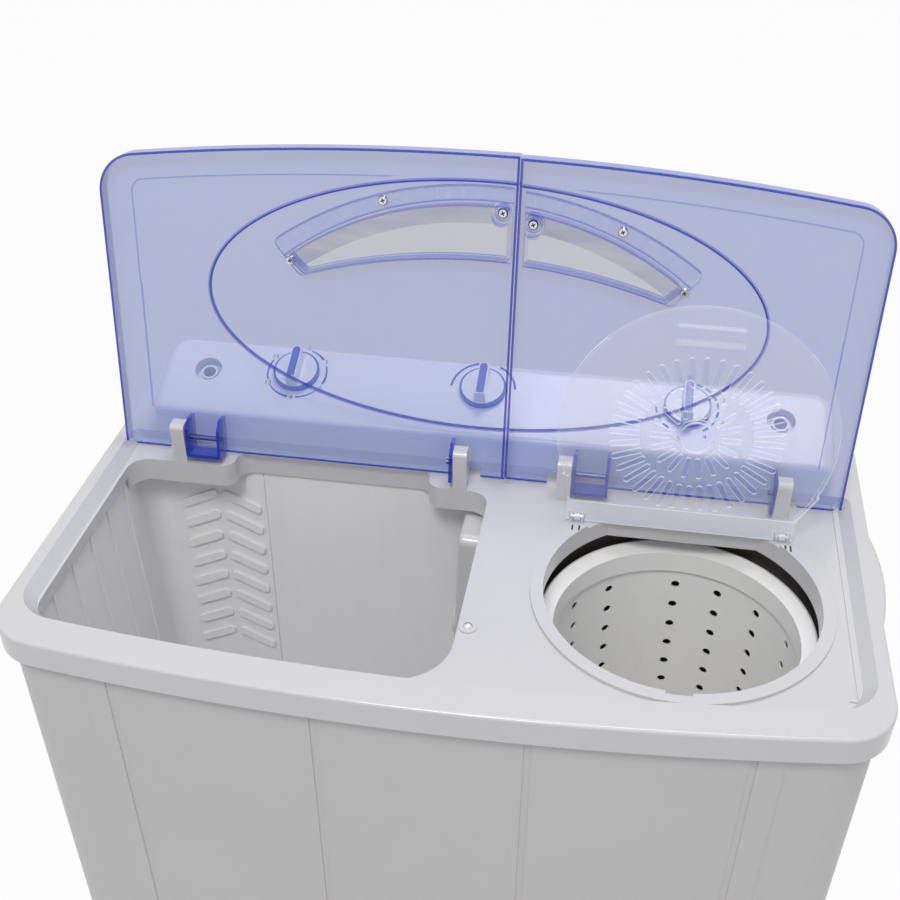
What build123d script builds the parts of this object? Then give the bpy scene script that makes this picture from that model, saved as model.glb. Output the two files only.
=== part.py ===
from build123d import *

import os
from math import asin, cos, degrees, hypot, radians, sin, tan

os.makedirs("parts", exist_ok=True)

# A twin tub washing machine with its two outer lids and its inner spin lid standing open.
# Lengths are millimetres. The floor is at height zero, the front faces minus Y, and the
# origin is the middle of the footprint.

# Whole machine
rim_width = 750
rim_depth = 440
deck_height = 800
front_bow = 27
corner_radius = 48
rear_corner_radius = 20
plastic_wall = 2.5
touch_gap = 0.3
running_gap = 0.06
overrun = 1000

# Top deck
rim_rise = 10
rim_edge_radius = 3
fascia_drop = 16
front_band = 36
side_band = 23
rear_band = 97
channel_run = 10
front_slope_run = 3
recess_front_radius = 40
recess_back_radius = 8
side_bulge = 7
side_bulge_half = 62
side_bulge_middle = 5
wiring_slot_margin = 43
wiring_slot_width = 50
groove_width = 1.4
groove_depth = 1.2
groove_inset = 5
groove_length = 270
deck_screw_aside = 9
deck_screw_ahead = 71
deck_screw_radius = 4.5
deck_screw_dome = 3.2
deck_boss_radius = 8
deck_boss_height = 1.5

# Wash tub opening in the deck
tub_side_margin = 26
tub_front_margin = 2.5
tub_back_margin = 8
tub_front_left_radius = 28
tub_front_right_radius = 50
tub_back_radius = 20
land_depth = 28
left_land_width = 103
right_land_width = 62
land_fillet = 13
lip_depth = 12
apron_depth = 25

# Wash tub
lip_clearance = 1.2
tub_floor_level = 410
tub_draft = 12
tub_floor = 4
tub_flange = 7
tub_bottom_radius = 26
tubs_apart = 49
washboard_rows = 8
washboard_pitch = 27
washboard_top = 62
washboard_first = 52
washboard_spacing = 46
washboard_rib_length = 44
washboard_rib_width = 9
washboard_rib_height = 3.5
washboard_slant = 25
side_rib_count = 5
side_rib_pitch = 42
side_rib_width = 5
side_rib_height = 1.8
side_rib_foot = 48
side_rib_back = 140
seam_aside = 124
seam_foot = 68

# Filter cover on the wash tub's right wall
filter_back_margin = 45
filter_width = 48
filter_top = 27
filter_length = 143
filter_depth = 27
filter_wall = 2
filter_corner = 10
filter_edge_radius = 4
louvre_count = 5
louvre_pitch = 9
louvre_width = 3
louvre_length = 30
louvre_slant = 30
filter_boss_radius = 19
filter_boss_rise = 3
filter_boss_taper = 20
cassette_gap = 1
cassette_windows = 3
cassette_frame = 4

# Spin side
spin_side_margin = 31
spin_front_margin = 42
throat_margin = 4.5
throat_behind_hinge = 5
throat_depth = 18
ring_width = 11.5
ring_rise = 3
ring_end_ahead = 16
ring_notch_width = 22
ring_notch_depth = 4
basket_clearance = 22
outer_tub_bottom = 400
outer_tub_flange = 6
outer_tub_corner = 16

# Basket
basket_radius = 118
basket_wall = 2.2
basket_top = 63
basket_above_tub = 52
basket_taper = 4
basket_floor = 3
basket_corner = 16
hub_radius = 34
hub_rise = 55
hub_slope = 6
basket_hole_radius = 4.2
basket_hole_rows = 7
basket_hole_pitch = 26
basket_hole_start = 20
basket_hole_angles = (-68, -44, -22, -1, 33, 55, 82)
balance_inset = 6.5
balance_overhang = 8
balance_top = 33
balance_slope = 8

# Spin drive
spin_shaft_radius = 8
spin_motor_radius = 62
spin_motor_lift = 74
spin_motor_height = 140
spin_motor_bell = 22
mount_radius = 14
mount_waist = 3
mount_circle = 78
mount_count = 3
mount_pad = 21
brake_drum_radius = 50
brake_drum_drop = 70
brake_drum_height = 26
brake_pivot_aside = 70
brake_pivot_ahead = 58
brake_pivot_radius = 4
brake_eye_radius = 10
brake_lever_thickness = 7
brake_lever_width = 16
brake_shoe_thickness = 5
brake_shoe_half_angle = 20
seal_width = 4
seal_flange = 6
seal_drop = 14
seal_lip = 16

# Wash drive
pulsator_radius = 122
pulsator_gap = 4
pulsator_recess = 14
pulsator_float = 1.2
pulsator_rim = 7
pulsator_dish = 10
pulsator_hub_rise = 32
pulsator_hub_radius = 30
pulsator_vanes = 4
pulsator_vane_length = 92
pulsator_vane_width = 16
pulsator_vane_height = 24
pulsator_vane_taper = 6
pulsator_cap_radius = 20
pulsator_cap_height = 7
pulsator_cap_taper = 15
pulsator_shaft_radius = 7
bearing_radius = 30
bearing_flange_radius = 52
bearing_height = 50
bearing_screws = 4
belt_drop = 70
belt_height = 8
belt_thickness = 6
belt_gap = 0.4
large_groove_radius = 70
small_groove_radius = 20
groove_lip = 5
groove_slope = 1
pulley_flange = 3
pulley_windows = 5
pulley_window_radius = 14
pulley_window_circle = 40
wash_motor_aside = 54
wash_motor_radius = 58
wash_motor_drop = 127
wash_motor_height = 110
wash_motor_shoulder = 12
wash_motor_band = 5
motor_shaft_radius = 6
motor_shaft_foot = 8
bracket_sheet = 3

# Drain
drain_aside = 48
drain_behind_pulsator = 78
drain_hole_radius = 15
valve_radius = 22
valve_bore = 17
valve_seat_drop = 24
valve_seat_radius = 11
valve_length = 56
valve_floor = 6
plug_radius = 15
plug_height = 7
plug_stem_radius = 3
plug_stem_length = 70
hose_radius = 13
hose_bore = 10.5
hose_above_valve = 28
hose_bend = 40
hose_drop_aside = 70
outlet_above_base = 50
outlet_radius = 15
outlet_reach = 16
outlet_inner_reach = 30
outlet_flange_radius = 24
spin_drain_aside = 50
spin_drain_radius = 10
spin_drain_bore = 8
spin_drain_bend = 24

# Cabinet, base and feet
cabinet_inset = 9
base_top = 60
base_bottom = 20
foot_side_margin = 70
foot_back_margin = 70
foot_radius = 20
foot_taper = -4
foot_boss_radius = 24
tray_opening_radius = 50
pad_rise = 1
pad_side_margin = 83
pad_edge_width = 22
pad_gap = 6.5
pad_middle_half = 85
pad_top_drop = 24
pad_bottom_rise = 40
rear_window_side = 65
rear_window_foot = 50
rear_window_head = 50
rear_cover_overlap = 18
rear_cover_thickness = 1.6
vent_count = 9
vent_pitch = 14
vent_width = 4
vent_length = 70
vent_columns_apart = 126
cover_screw_head = 4
cover_screw_radius = 1.8
cover_screw_head_height = 2.2
capacitor_radius = 20
capacitor_height = 56

# Console
console_side_margin = 34
console_centre = 2
console_lip_behind = 1
console_lip_rise = 39.5
console_slope = 23
console_depth = 91
console_top_depth = 82
console_lip_radius = 7
console_top_radius = 9
console_plan_radius = 24
console_end_radius = 11
wash_knob_aside = 151
middle_knob_x = -5.5
spin_knob_aside = 5
knob_up = 57
knob_radius = 23.5
knob_height = 6
knob_clearance = 0.5
grip_width = 12.5
grip_length = 41
grip_height = 14
grip_taper = 4
grip_inlay_depth = 1.5
grip_inlay_margin = 2.4
ring_trim = 2.2
ring_step = 1.3
stem_radius = 6
stem_hole_gap = 1
stem_length = 20
timer_width = 56
timer_length = 46
timer_corner = 7
timer_depth = 24
terminal_width = 28
terminal_length = 15
terminal_depth = 6
port_side_margin = 84
port_up = 52
port_radius = 14
port_depth = 12
nozzle_radius = 8.5
nozzle_bore = 6.5
nozzle_length = 30
nozzle_stand = 7
nozzle_flange = 12
lid_switch_aside = 42
lid_switch_behind = 14
lid_switch_height = 12

# Lid hinges
hinge_ahead = 27
hinge_rise = 26
hinge_pin_radius = 2.5
post_width = 13.6
post_reach = 9
post_top = 16.5
post_round = 5.4
left_post_aside = 50
right_post_aside = 29.8
spin_post_left = 117.2
spin_post_right = 90.5
post_gap = 1

# Outer lids, drawn on the plane of their under face, upwards from the hinge edge
lid_thickness = 2.2
lid_left_margin = 18
lid_right_margin = 24
lid_front_overlap = 14
lid_front_radius = 2550
lid_corner_radius = 38
lid_foot_radius = 8
lid_split = 27.6
lid_split_gap = 1.2
lid_skirt = 13
lid_standoff = 14
lid_pivot_up = 20
wash_lid_lean = 9.5
spin_lid_lean = 8.2
lid_rest_gap = 0.4
notch_up = 31
step_width = 10
step_up = 11
ear_depth = 22
ear_height = 40
ear_width = 35
ear_web = 3.2
ear_round = 9
ear_start = 1
ridge_x = -2.5
ridge_below_edge = 144
ridge_half_width = 262
ridge_half_height = 119.5
ridge_width = 2.4
ridge_height = 1
border_inset = 25
border_width = 1.2
border_height = 0.6
border_gap = 4

# Finger pocket shared by the two lids, measured down from the lids' bowed edge
handle_x = -2
handle_half = 197.8
handle_top_drop = 28.7
handle_end_drop = 92.5
handle_low_drop = 96.7
handle_low_half = 172
handle_low_end_drop = 124.5
handle_corner = 7
pocket_half = 181.3
pocket_top_drop = 43.1
pocket_end_drop = 102.8
pocket_low_drop = 92.5
pocket_low_half = 164.8
pocket_low_end_drop = 118.3
pocket_corner = 6
pocket_depth = 15
handle_wall = 2
handle_split_gap = 2.4
screw_head_radius = 4.6
screw_head_height = 2
screw_shank = 2
screw_taper = 30
screw_boss_radius = 6.5
screw_boss_height = 3
wash_screws = ((-183, 110), (-95.5, 48.5), (13, 52))
spin_screws = ((41, 59), (120, 59.5), (179.5, 110))

# Inner spin lid
inner_hinge_ahead = 39
inner_hinge_rise = 5
inner_lean = 5
inner_margin = 3
inner_thickness = 2.4
inner_rest = 3.6
inner_edge_low = -3.4
inner_left_reach = 111
inner_right_reach = 101
inner_shoulder_up = 45
inner_shoulder_in = 8
inner_bead_width = 2.6
inner_bead_height = 1.8
inner_centre_hole = 15
inner_slot_count = 18
inner_slot_start = 21
inner_slot_end = 42
inner_slot_width = 5
outer_slot_count = 36
outer_slot_start = 50
outer_slot_end = 79
outer_slot_width = 5.4
slot_floor_up = 20
inner_band_up = 18
inner_band_height = 1
pull_width = 60
pull_height = 17
pull_corner = 3.2
pull_above_centre = 101
pull_depth = 8
pull_wall = 1.6
left_lug_aside = 100.5
right_lug_aside = 91
lug_spacing = 10.4
lug_thickness = 2.4
lug_radius = 4.4
tongue_width = 6
inner_pin_radius = 1.5

# Edges and levels worked out from the sizes above
half_width = rim_width / 2
rim_front = -rim_depth / 2
rim_back = rim_depth / 2
rim_top = deck_height + rim_rise
fascia_bottom = deck_height - fascia_drop
deck_under = deck_height - plastic_wall
recess_half = half_width - side_band
recess_front = rim_front + front_band
recess_back = rim_back - rear_band
tub_top = deck_under
tub_bottom = tub_floor_level
recess_floor = tub_bottom - pulsator_recess
tub_underside = recess_floor - tub_floor
basket_top_level = deck_height - basket_top
basket_bottom_level = outer_tub_bottom + basket_above_tub
belt_level = tub_underside - belt_drop
wash_motor_bottom = belt_level - wash_motor_drop
spin_motor_bottom = base_top + spin_motor_lift
brake_drum_bottom = outer_tub_bottom - brake_drum_drop
valve_seat = tub_bottom - valve_seat_drop
valve_bottom = valve_seat - valve_length
hose_level = valve_bottom + hose_above_valve
outlet_level = base_top + outlet_above_base
rear_window_bottom = base_top + rear_window_foot
rear_window_top = deck_height - rear_window_head
rear_window_width = rim_width - 2 * rear_window_side

# Places of the two tubs and of what stands over them
outer_tub_radius = basket_radius + basket_clearance
throat_radius = basket_radius + throat_margin
balance_inner_radius = basket_radius - balance_inset
balance_outer_radius = basket_radius + balance_overhang
spin_x = half_width - spin_side_margin - outer_tub_radius
spin_y = rim_front + spin_front_margin + outer_tub_radius
tub_left = -half_width + tub_side_margin
tub_right = spin_x - outer_tub_radius - tubs_apart
tub_back = recess_back - tub_back_margin
tub_middle = (tub_left + tub_right) / 2
land_front = tub_back - land_depth
left_land_end = tub_left + left_land_width
right_land_start = tub_right - right_land_width
pulsator_x = tub_middle
pulsator_y = (recess_front + tub_front_margin + tub_back) / 2
wash_motor_x = tub_left + wash_motor_aside
drain_x = tub_right - drain_aside
drain_y = pulsator_y + drain_behind_pulsator
hose_drop_x = drain_x - hose_drop_aside
spin_drain_x = spin_x - spin_drain_aside
filter_y = tub_back - filter_back_margin
deck_screw_x = tub_right + deck_screw_aside
deck_screw_y = spin_y - deck_screw_ahead
brake_pivot_x = spin_x - brake_pivot_aside
brake_pivot_y = spin_y - brake_pivot_ahead
foot_x = half_width - foot_side_margin
foot_y = rim_back - foot_back_margin

# Hinge line, console and inner lid hinge
hinge_y = recess_back - hinge_ahead
hinge_z = deck_height + hinge_rise
wash_posts = (tub_left + left_post_aside, tub_right - right_post_aside)
spin_posts = (spin_x - spin_post_left, spin_x + spin_post_right)
inner_hinge_y = hinge_y - inner_hinge_ahead
inner_hinge_z = deck_height + inner_hinge_rise
throat_cut = inner_hinge_y + throat_behind_hinge
ring_end = throat_cut - ring_end_ahead
lug_x = (spin_x - left_lug_aside, spin_x + right_lug_aside)
inner_left = spin_x - inner_left_reach
inner_right = spin_x + inner_right_reach
inner_radius = throat_radius + inner_margin
console_half = half_width - console_side_margin
console_lip_y = recess_back + console_lip_behind
console_back = console_lip_y + console_depth
console_top_back = console_lip_y + console_top_depth
console_angle = radians(console_slope)
console_plane = Plane(
    origin=(0, console_lip_y, deck_height + console_lip_rise),
    x_dir=(1, 0, 0),
    z_dir=(0, -sin(console_angle), cos(console_angle)),
)
knob_x = (tub_left + wash_knob_aside, middle_knob_x, spin_x - spin_knob_aside)
port_x = half_width - port_side_margin
inner_angle = radians(inner_lean)
inner_under = inner_hinge_rise - inner_rest
inner_plane = Plane(
    origin=(
        0, inner_hinge_y - inner_under * cos(inner_angle), inner_hinge_z + inner_under * sin(inner_angle)
    ),
    x_dir=(1, 0, 0),
    z_dir=(0, -cos(inner_angle), sin(inner_angle)),
)
inner_centre_up = inner_hinge_y - spin_y
pull_up = inner_centre_up + pull_above_centre

# Outer lids: size, and closing angles from standing to their rest on the deck
lid_left = -half_width + lid_left_margin
lid_right = half_width - lid_right_margin
lid_length = hinge_y + lid_pivot_up - recess_front + lid_front_overlap
front_drop = hinge_rise + lid_standoff - lid_skirt - rim_rise - lid_rest_gap
closed_tilt = degrees(asin(front_drop / hypot(lid_length - lid_pivot_up, lid_skirt)))
right_angle = 90
wash_travel = right_angle + wash_lid_lean + closed_tilt
spin_travel = right_angle + spin_lid_lean + closed_tilt
inner_travel = right_angle + inner_lean
belt_line = belt_gap + belt_thickness / 2
belt_ratio = (large_groove_radius + belt_line) / (small_groove_radius + belt_line)
print("travel of wash, spin and inner lids", round(wash_travel, 3), round(spin_travel, 3), inner_travel)
print("lid hinge", hinge_y, hinge_z, "inner hinge", inner_hinge_y, inner_hinge_z)
print("belt ratio", round(belt_ratio, 4))


def finish(part, name):
    """Name a finished piece and write it."""
    part.label = name
    export_step(part, f"parts/{name}.step")


def bow_at(x):
    """How far the front line falls back at a distance from the middle."""
    return front_bow * (x / half_width) ** 2


def bowed_plan(half, front, back, front_radius, back_radius):
    """Plan with a bowed front, straight sides and back, and rounded corners."""
    side_front = front + bow_at(half)
    with BuildSketch() as plan:
        with BuildLine():
            ThreePointArc((-half, side_front), (0, front), (half, side_front))
            Polyline((half, side_front), (half, back), (-half, back), (-half, side_front))
        make_face()
        fillet(plan.vertices().group_by(Axis.Y)[0], front_radius)
        fillet(plan.vertices().group_by(Axis.Y)[-1], back_radius)
    return plan.sketch


def rim_plan(inset):
    """Outline of the rim, drawn in evenly."""
    return bowed_plan(
        half_width - inset, rim_front + inset, rim_back - inset,
        corner_radius - inset, rear_corner_radius - inset,
    )


def recess_plan(side_run, front_run, grow):
    """Outline of the sunk deck inside the rim."""
    return bowed_plan(
        recess_half + side_run + grow, recess_front - front_run - grow, recess_back + grow,
        recess_front_radius, recess_back_radius,
    )


def tub_front_at(x):
    """Front line of the wash opening at a place across the machine."""
    return recess_front + tub_front_margin + bow_at(x)


def nearest_vertex(plan, x, y):
    """The corner of a sketch that lies nearest to a place."""
    return plan.vertices().sort_by_distance((x, y, 0))[0]


def tub_plan(grow):
    """Plan of the wash tub: bowed front, and a large radius at the front right."""
    left_front = tub_front_at(tub_left)
    right_front = tub_front_at(tub_right)
    middle = (tub_left + tub_right) / 2
    with BuildSketch() as plan:
        with BuildLine():
            ThreePointArc((tub_left, left_front), (middle, tub_front_at(middle)), (tub_right, right_front))
            Polyline(
                (tub_right, right_front), (tub_right, tub_back), (tub_left, tub_back),
                (tub_left, left_front),
            )
        make_face()
        fillet(nearest_vertex(plan, tub_left, left_front), tub_front_left_radius)
        fillet(nearest_vertex(plan, tub_right, right_front), tub_front_right_radius)
        fillet(plan.vertices().group_by(Axis.Y)[-1], tub_back_radius)
        if grow:
            offset(amount=grow, kind=Kind.ARC)
    return plan.sketch


def opening_plan(grow):
    """Wash opening in the deck: the tub's plan less the two hinge lands at the back."""
    left_front = tub_front_at(tub_left)
    right_front = tub_front_at(tub_right)
    middle = (tub_left + tub_right) / 2
    with BuildSketch() as plan:
        with BuildLine():
            ThreePointArc((tub_left, left_front), (middle, tub_front_at(middle)), (tub_right, right_front))
            Polyline(
                (tub_right, right_front), (tub_right, land_front), (right_land_start, land_front),
                (right_land_start, tub_back), (left_land_end, tub_back), (left_land_end, land_front),
                (tub_left, land_front), (tub_left, left_front),
            )
        make_face()
        fillet(nearest_vertex(plan, tub_left, left_front), tub_front_left_radius)
        fillet(nearest_vertex(plan, tub_right, right_front), tub_front_right_radius)
        fillet(nearest_vertex(plan, tub_right, land_front), tub_back_radius)
        fillet(nearest_vertex(plan, tub_left, land_front), tub_back_radius)
        for x in (left_land_end, right_land_start):
            fillet(nearest_vertex(plan, x, land_front), land_fillet)
            fillet(nearest_vertex(plan, x, tub_back), land_fillet)
        if grow:
            offset(amount=grow, kind=Kind.ARC)
    return plan.sketch


def throat_plan(grow):
    """Round spin opening with its straight cut at the back."""
    with BuildSketch() as plan:
        with Locations((spin_x, spin_y)):
            Circle(throat_radius + grow)
        with Locations((spin_x, throat_cut + grow)):
            Rectangle(overrun, overrun, align=(Align.CENTER, Align.MIN), mode=Mode.SUBTRACT)
    return plan.sketch


def post_shape(x):
    """One hinge post standing on the deck, with its pin hole."""
    foot = deck_height - plastic_wall / 2
    with BuildPart() as post:
        with BuildSketch(Plane.YZ.offset(x - post_width / 2)) as side:
            with BuildLine():
                Polyline(
                    (hinge_y - post_reach, foot), (hinge_y + post_reach, foot),
                    (hinge_y + post_reach, hinge_z + post_top), (hinge_y - post_reach, hinge_z + post_top),
                    close=True,
                )
            make_face()
            fillet(side.vertices().group_by(Axis.Y)[-1], post_round)
            with Locations((hinge_y, hinge_z)):
                Circle(hinge_pin_radius, mode=Mode.SUBTRACT)
        extrude(amount=post_width)
    return post.part


# Top deck with the rim, the two openings, the hinge posts and the inner lid's lugs
with BuildPart() as top_deck:
    with BuildSketch(Plane.XY.offset(fascia_bottom)):
        add(rim_plan(0))
        with BuildLine():
            ThreePointArc(
                (half_width, side_bulge_middle - side_bulge_half),
                (half_width + side_bulge, side_bulge_middle),
                (half_width, side_bulge_middle + side_bulge_half),
            )
            Line(
                (half_width, side_bulge_middle + side_bulge_half),
                (half_width, side_bulge_middle - side_bulge_half),
            )
        make_face()
    extrude(amount=rim_rise + fascia_drop)
    fillet(top_deck.edges().group_by(Axis.Z)[-1], rim_edge_radius)
    with BuildSketch(Plane.XY.offset(deck_height)):
        add(recess_plan(0, 0, 0))
    with BuildSketch(Plane.XY.offset(rim_top)):
        add(recess_plan(channel_run, front_slope_run, 0))
    loft(ruled=True, mode=Mode.SUBTRACT)
    with BuildSketch(Plane.XY.offset(fascia_bottom)):
        add(rim_plan(plastic_wall))
    extrude(amount=fascia_drop - plastic_wall, mode=Mode.SUBTRACT)
    with BuildSketch(Plane.XY.offset(deck_under)):
        add(rim_plan(plastic_wall))
        add(recess_plan(channel_run, front_slope_run, plastic_wall), mode=Mode.SUBTRACT)
    extrude(amount=rim_rise, mode=Mode.SUBTRACT)
    with BuildSketch(Plane.XY.offset(deck_height - lip_depth)):
        add(opening_plan(plastic_wall))
    extrude(amount=lip_depth - plastic_wall / 2)
    with BuildSketch(Plane.XY.offset(deck_height - apron_depth)):
        add(opening_plan(plastic_wall))
        with Locations((tub_middle, land_front - tub_back_radius)):
            Rectangle(overrun, overrun, align=(Align.CENTER, Align.MIN), mode=Mode.INTERSECT)
    extrude(amount=apron_depth - plastic_wall / 2)
    with BuildSketch(Plane.XY.offset(fascia_bottom - apron_depth)):
        add(opening_plan(0))
    extrude(amount=rim_rise + fascia_drop + apron_depth, mode=Mode.SUBTRACT)
    with BuildSketch(Plane.XY.offset(deck_height - throat_depth)):
        add(throat_plan(plastic_wall))
    extrude(amount=throat_depth - plastic_wall / 2)
    with BuildSketch(Plane.XY.offset(deck_height - plastic_wall / 2)):
        with Locations((spin_x, spin_y)):
            Circle(throat_radius + ring_width)
        with Locations((spin_x, ring_end)):
            Rectangle(overrun, overrun, align=(Align.CENTER, Align.MAX), mode=Mode.INTERSECT)
    extrude(amount=ring_rise + plastic_wall / 2)
    with BuildSketch(Plane.XY.offset(deck_height - throat_depth)):
        add(throat_plan(0))
    extrude(amount=throat_depth + rim_rise, mode=Mode.SUBTRACT)
    with BuildSketch(Plane.XY.offset(deck_height)):
        with Locations((spin_x, spin_y - throat_radius)):
            Rectangle(ring_notch_width, 2 * ring_notch_depth)
    extrude(amount=ring_rise, mode=Mode.SUBTRACT)
    groove_reach = recess_half - groove_inset - spin_x
    with BuildSketch(Plane.XY.offset(deck_height - groove_depth)):
        with Locations((spin_x, recess_back)):
            Rectangle(groove_reach, groove_length, align=(Align.MIN, Align.MAX))
            Rectangle(
                groove_reach - groove_width, groove_length - groove_width,
                align=(Align.MIN, Align.MAX), mode=Mode.SUBTRACT,
            )
            Rectangle(
                2 * (throat_radius + ring_width + groove_width), overrun,
                align=(Align.CENTER, Align.MAX), mode=Mode.SUBTRACT,
            )
    extrude(amount=groove_depth, mode=Mode.SUBTRACT)
    with BuildSketch(Plane.XY.offset(deck_height - plastic_wall / 2)):
        with Locations((deck_screw_x, deck_screw_y)):
            Circle(deck_boss_radius)
    extrude(amount=deck_boss_height + plastic_wall / 2)
    with Locations((deck_screw_x, deck_screw_y, deck_height + deck_boss_height)):
        Hole(cover_screw_radius + touch_gap)
    with BuildSketch(Plane.XY.offset(deck_height)):
        with Locations((0, (recess_back + rim_back) / 2)):
            Rectangle(2 * (console_half - wiring_slot_margin), wiring_slot_width)
    extrude(amount=rim_rise, mode=Mode.SUBTRACT)
    for post_x in wash_posts + spin_posts:
        add(post_shape(post_x))
    for x in lug_x:
        for side in (-1, 1):
            with BuildSketch(Plane.YZ.offset(x + side * lug_spacing / 2 - lug_thickness / 2)):
                with Locations((inner_hinge_y, inner_hinge_z)):
                    Circle(lug_radius)
                with Locations((inner_hinge_y, inner_hinge_z)):
                    Rectangle(
                        2 * lug_radius, inner_hinge_rise + plastic_wall / 2, align=(Align.CENTER, Align.MAX)
                    )
                with Locations((inner_hinge_y, inner_hinge_z)):
                    Circle(inner_pin_radius, mode=Mode.SUBTRACT)
            extrude(amount=lug_thickness)
finish(top_deck.part, "top_deck")

# Domed screw in the deck between the two openings
with BuildPart() as deck_screw:
    with BuildSketch(Plane.XZ.offset(-deck_screw_y)) as half:
        with BuildLine():
            seat = deck_height + deck_boss_height
            tip = deck_under - lip_depth / 2
            Polyline(
                (deck_screw_x + deck_screw_radius, seat), (deck_screw_x + cover_screw_radius, seat),
                (deck_screw_x + cover_screw_radius, tip), (deck_screw_x, tip),
                (deck_screw_x, seat + deck_screw_dome),
            )
            TangentArc(
                (deck_screw_x, seat + deck_screw_dome), (deck_screw_x + deck_screw_radius, seat),
                tangent=(1, 0),
            )
        make_face()
    revolve(axis=Axis((deck_screw_x, deck_screw_y, 0), (0, 0, 1)))
finish(deck_screw.part, "deck_screw")

# Cabinet shell with raised front panels and an open back
with BuildPart() as cabinet_shell:
    with BuildSketch(Plane.XY.offset(base_top)):
        add(rim_plan(cabinet_inset))
    extrude(amount=deck_under - base_top)
    pad_end = half_width - pad_side_margin
    pad_cuts = (
        (pad_middle_half + pad_gap / 2, pad_gap), (pad_end - pad_edge_width - pad_gap / 2, pad_gap),
        (pad_end + overrun / 2, overrun),
    )
    with BuildSketch(Plane.XY.offset(base_top + pad_bottom_rise)):
        add(rim_plan(cabinet_inset - pad_rise))
        for side in (-1, 1):
            for middle, width in pad_cuts:
                with Locations((side * middle, 0)):
                    Rectangle(width, overrun, mode=Mode.SUBTRACT)
        Rectangle(overrun, overrun, align=(Align.CENTER, Align.MIN), mode=Mode.SUBTRACT)
    extrude(amount=deck_height - pad_top_drop - base_top - pad_bottom_rise)
    with BuildSketch(Plane.XY.offset(base_top)):
        add(rim_plan(cabinet_inset + plastic_wall))
    extrude(amount=deck_under - base_top, mode=Mode.SUBTRACT)
    with BuildSketch(Plane.XZ.offset(-rim_back)):
        with Locations((0, (rear_window_bottom + rear_window_top) / 2)):
            Rectangle(rear_window_width, rear_window_top - rear_window_bottom)
    extrude(amount=rim_back / 2, mode=Mode.SUBTRACT)
    with BuildSketch(Plane.YZ.offset(-half_width)):
        with Locations((drain_y, outlet_level)):
            Circle(outlet_radius + touch_gap)
    extrude(amount=outlet_inner_reach, mode=Mode.SUBTRACT)
finish(cabinet_shell.part, "cabinet_shell")

# Rear cover with vent slots
cover_back = rim_back - cabinet_inset
screw_reach_x = rear_window_width / 2 + rear_cover_overlap / 2
screw_reach_z = (rear_window_top - rear_window_bottom) / 2 + rear_cover_overlap / 2
cover_middle = (rear_window_top + rear_window_bottom) / 2
with BuildPart() as rear_cover:
    with BuildSketch(Plane.XZ.offset(-cover_back)):
        with Locations((0, cover_middle)):
            RectangleRounded(
                rear_window_width + 2 * rear_cover_overlap,
                rear_window_top - rear_window_bottom + 2 * rear_cover_overlap, rear_cover_overlap,
            )
            with GridLocations(vent_columns_apart, vent_pitch, 2, vent_count):
                SlotOverall(vent_length, vent_width, mode=Mode.SUBTRACT)
            with GridLocations(2 * screw_reach_x, screw_reach_z, 2, 3):
                Circle(cover_screw_radius, mode=Mode.SUBTRACT)
    extrude(amount=-rear_cover_thickness)
finish(rear_cover.part, "rear_cover")

with BuildPart() as rear_cover_screws:
    with BuildSketch(Plane.XZ.offset(-cover_back - rear_cover_thickness)):
        with Locations((0, cover_middle)):
            with GridLocations(2 * screw_reach_x, screw_reach_z, 2, 3):
                Circle(cover_screw_head)
    extrude(amount=-cover_screw_head_height)
finish(rear_cover_screws.part, "rear_cover_screws")

# Base tray and feet
with BuildPart() as base_tray:
    with BuildSketch(Plane.XY.offset(base_bottom)):
        add(rim_plan(cabinet_inset))
    extrude(amount=base_top - base_bottom)
    with BuildSketch(Plane.XY.offset(base_bottom)):
        add(rim_plan(cabinet_inset + plastic_wall))
    extrude(amount=base_top - base_bottom - plastic_wall, mode=Mode.SUBTRACT)
    with BuildSketch(Plane.XY.offset(base_bottom)):
        with GridLocations(2 * foot_x, 2 * foot_y, 2, 2):
            Circle(foot_boss_radius)
    extrude(amount=base_top - base_bottom - plastic_wall)
    with BuildSketch(Plane.XY.offset(base_bottom)):
        Rectangle(2 * foot_x, plastic_wall)
        Rectangle(plastic_wall, 2 * foot_y)
    extrude(amount=base_top - base_bottom - plastic_wall)
    with BuildSketch(Plane.XY.offset(base_top - plastic_wall)):
        with Locations((spin_x, spin_y)):
            Circle(tray_opening_radius)
    extrude(amount=plastic_wall, mode=Mode.SUBTRACT)
finish(base_tray.part, "base_tray")

with BuildPart() as feet:
    with BuildSketch():
        with GridLocations(2 * foot_x, 2 * foot_y, 2, 2):
            Circle(foot_radius)
    extrude(amount=base_bottom, taper=foot_taper)
    fillet(feet.edges().group_by(Axis.Z)[0], plastic_wall)
finish(feet.part, "feet")

# Wash tub with washboard ribs, wall ribs and the sunk seat of the pulsator
tub_inner_grow = plastic_wall + lip_clearance
tub_outer_grow = tub_inner_grow + plastic_wall
wall_lean = tub_draft / (tub_top - tub_bottom)
back_wall = Plane(
    origin=(0, tub_back + tub_inner_grow, tub_top), x_dir=(1, 0, 0), z_dir=(0, -1, wall_lean)
)
left_wall = Plane(
    origin=(tub_left - tub_inner_grow, 0, tub_top), x_dir=(0, 1, 0), z_dir=(1, 0, wall_lean)
)
right_wall = Plane(
    origin=(tub_right + tub_inner_grow, 0, tub_top), x_dir=(0, -1, 0), z_dir=(-1, 0, wall_lean)
)

with BuildPart() as tub_hollow:
    with BuildSketch(Plane.XY.offset(tub_bottom)):
        add(tub_plan(tub_inner_grow - tub_draft))
    with BuildSketch(Plane.XY.offset(tub_top)):
        add(tub_plan(tub_inner_grow))
    loft(ruled=True)
    fillet(tub_hollow.edges().group_by(Axis.Z)[0], tub_bottom_radius - tub_floor)

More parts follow.
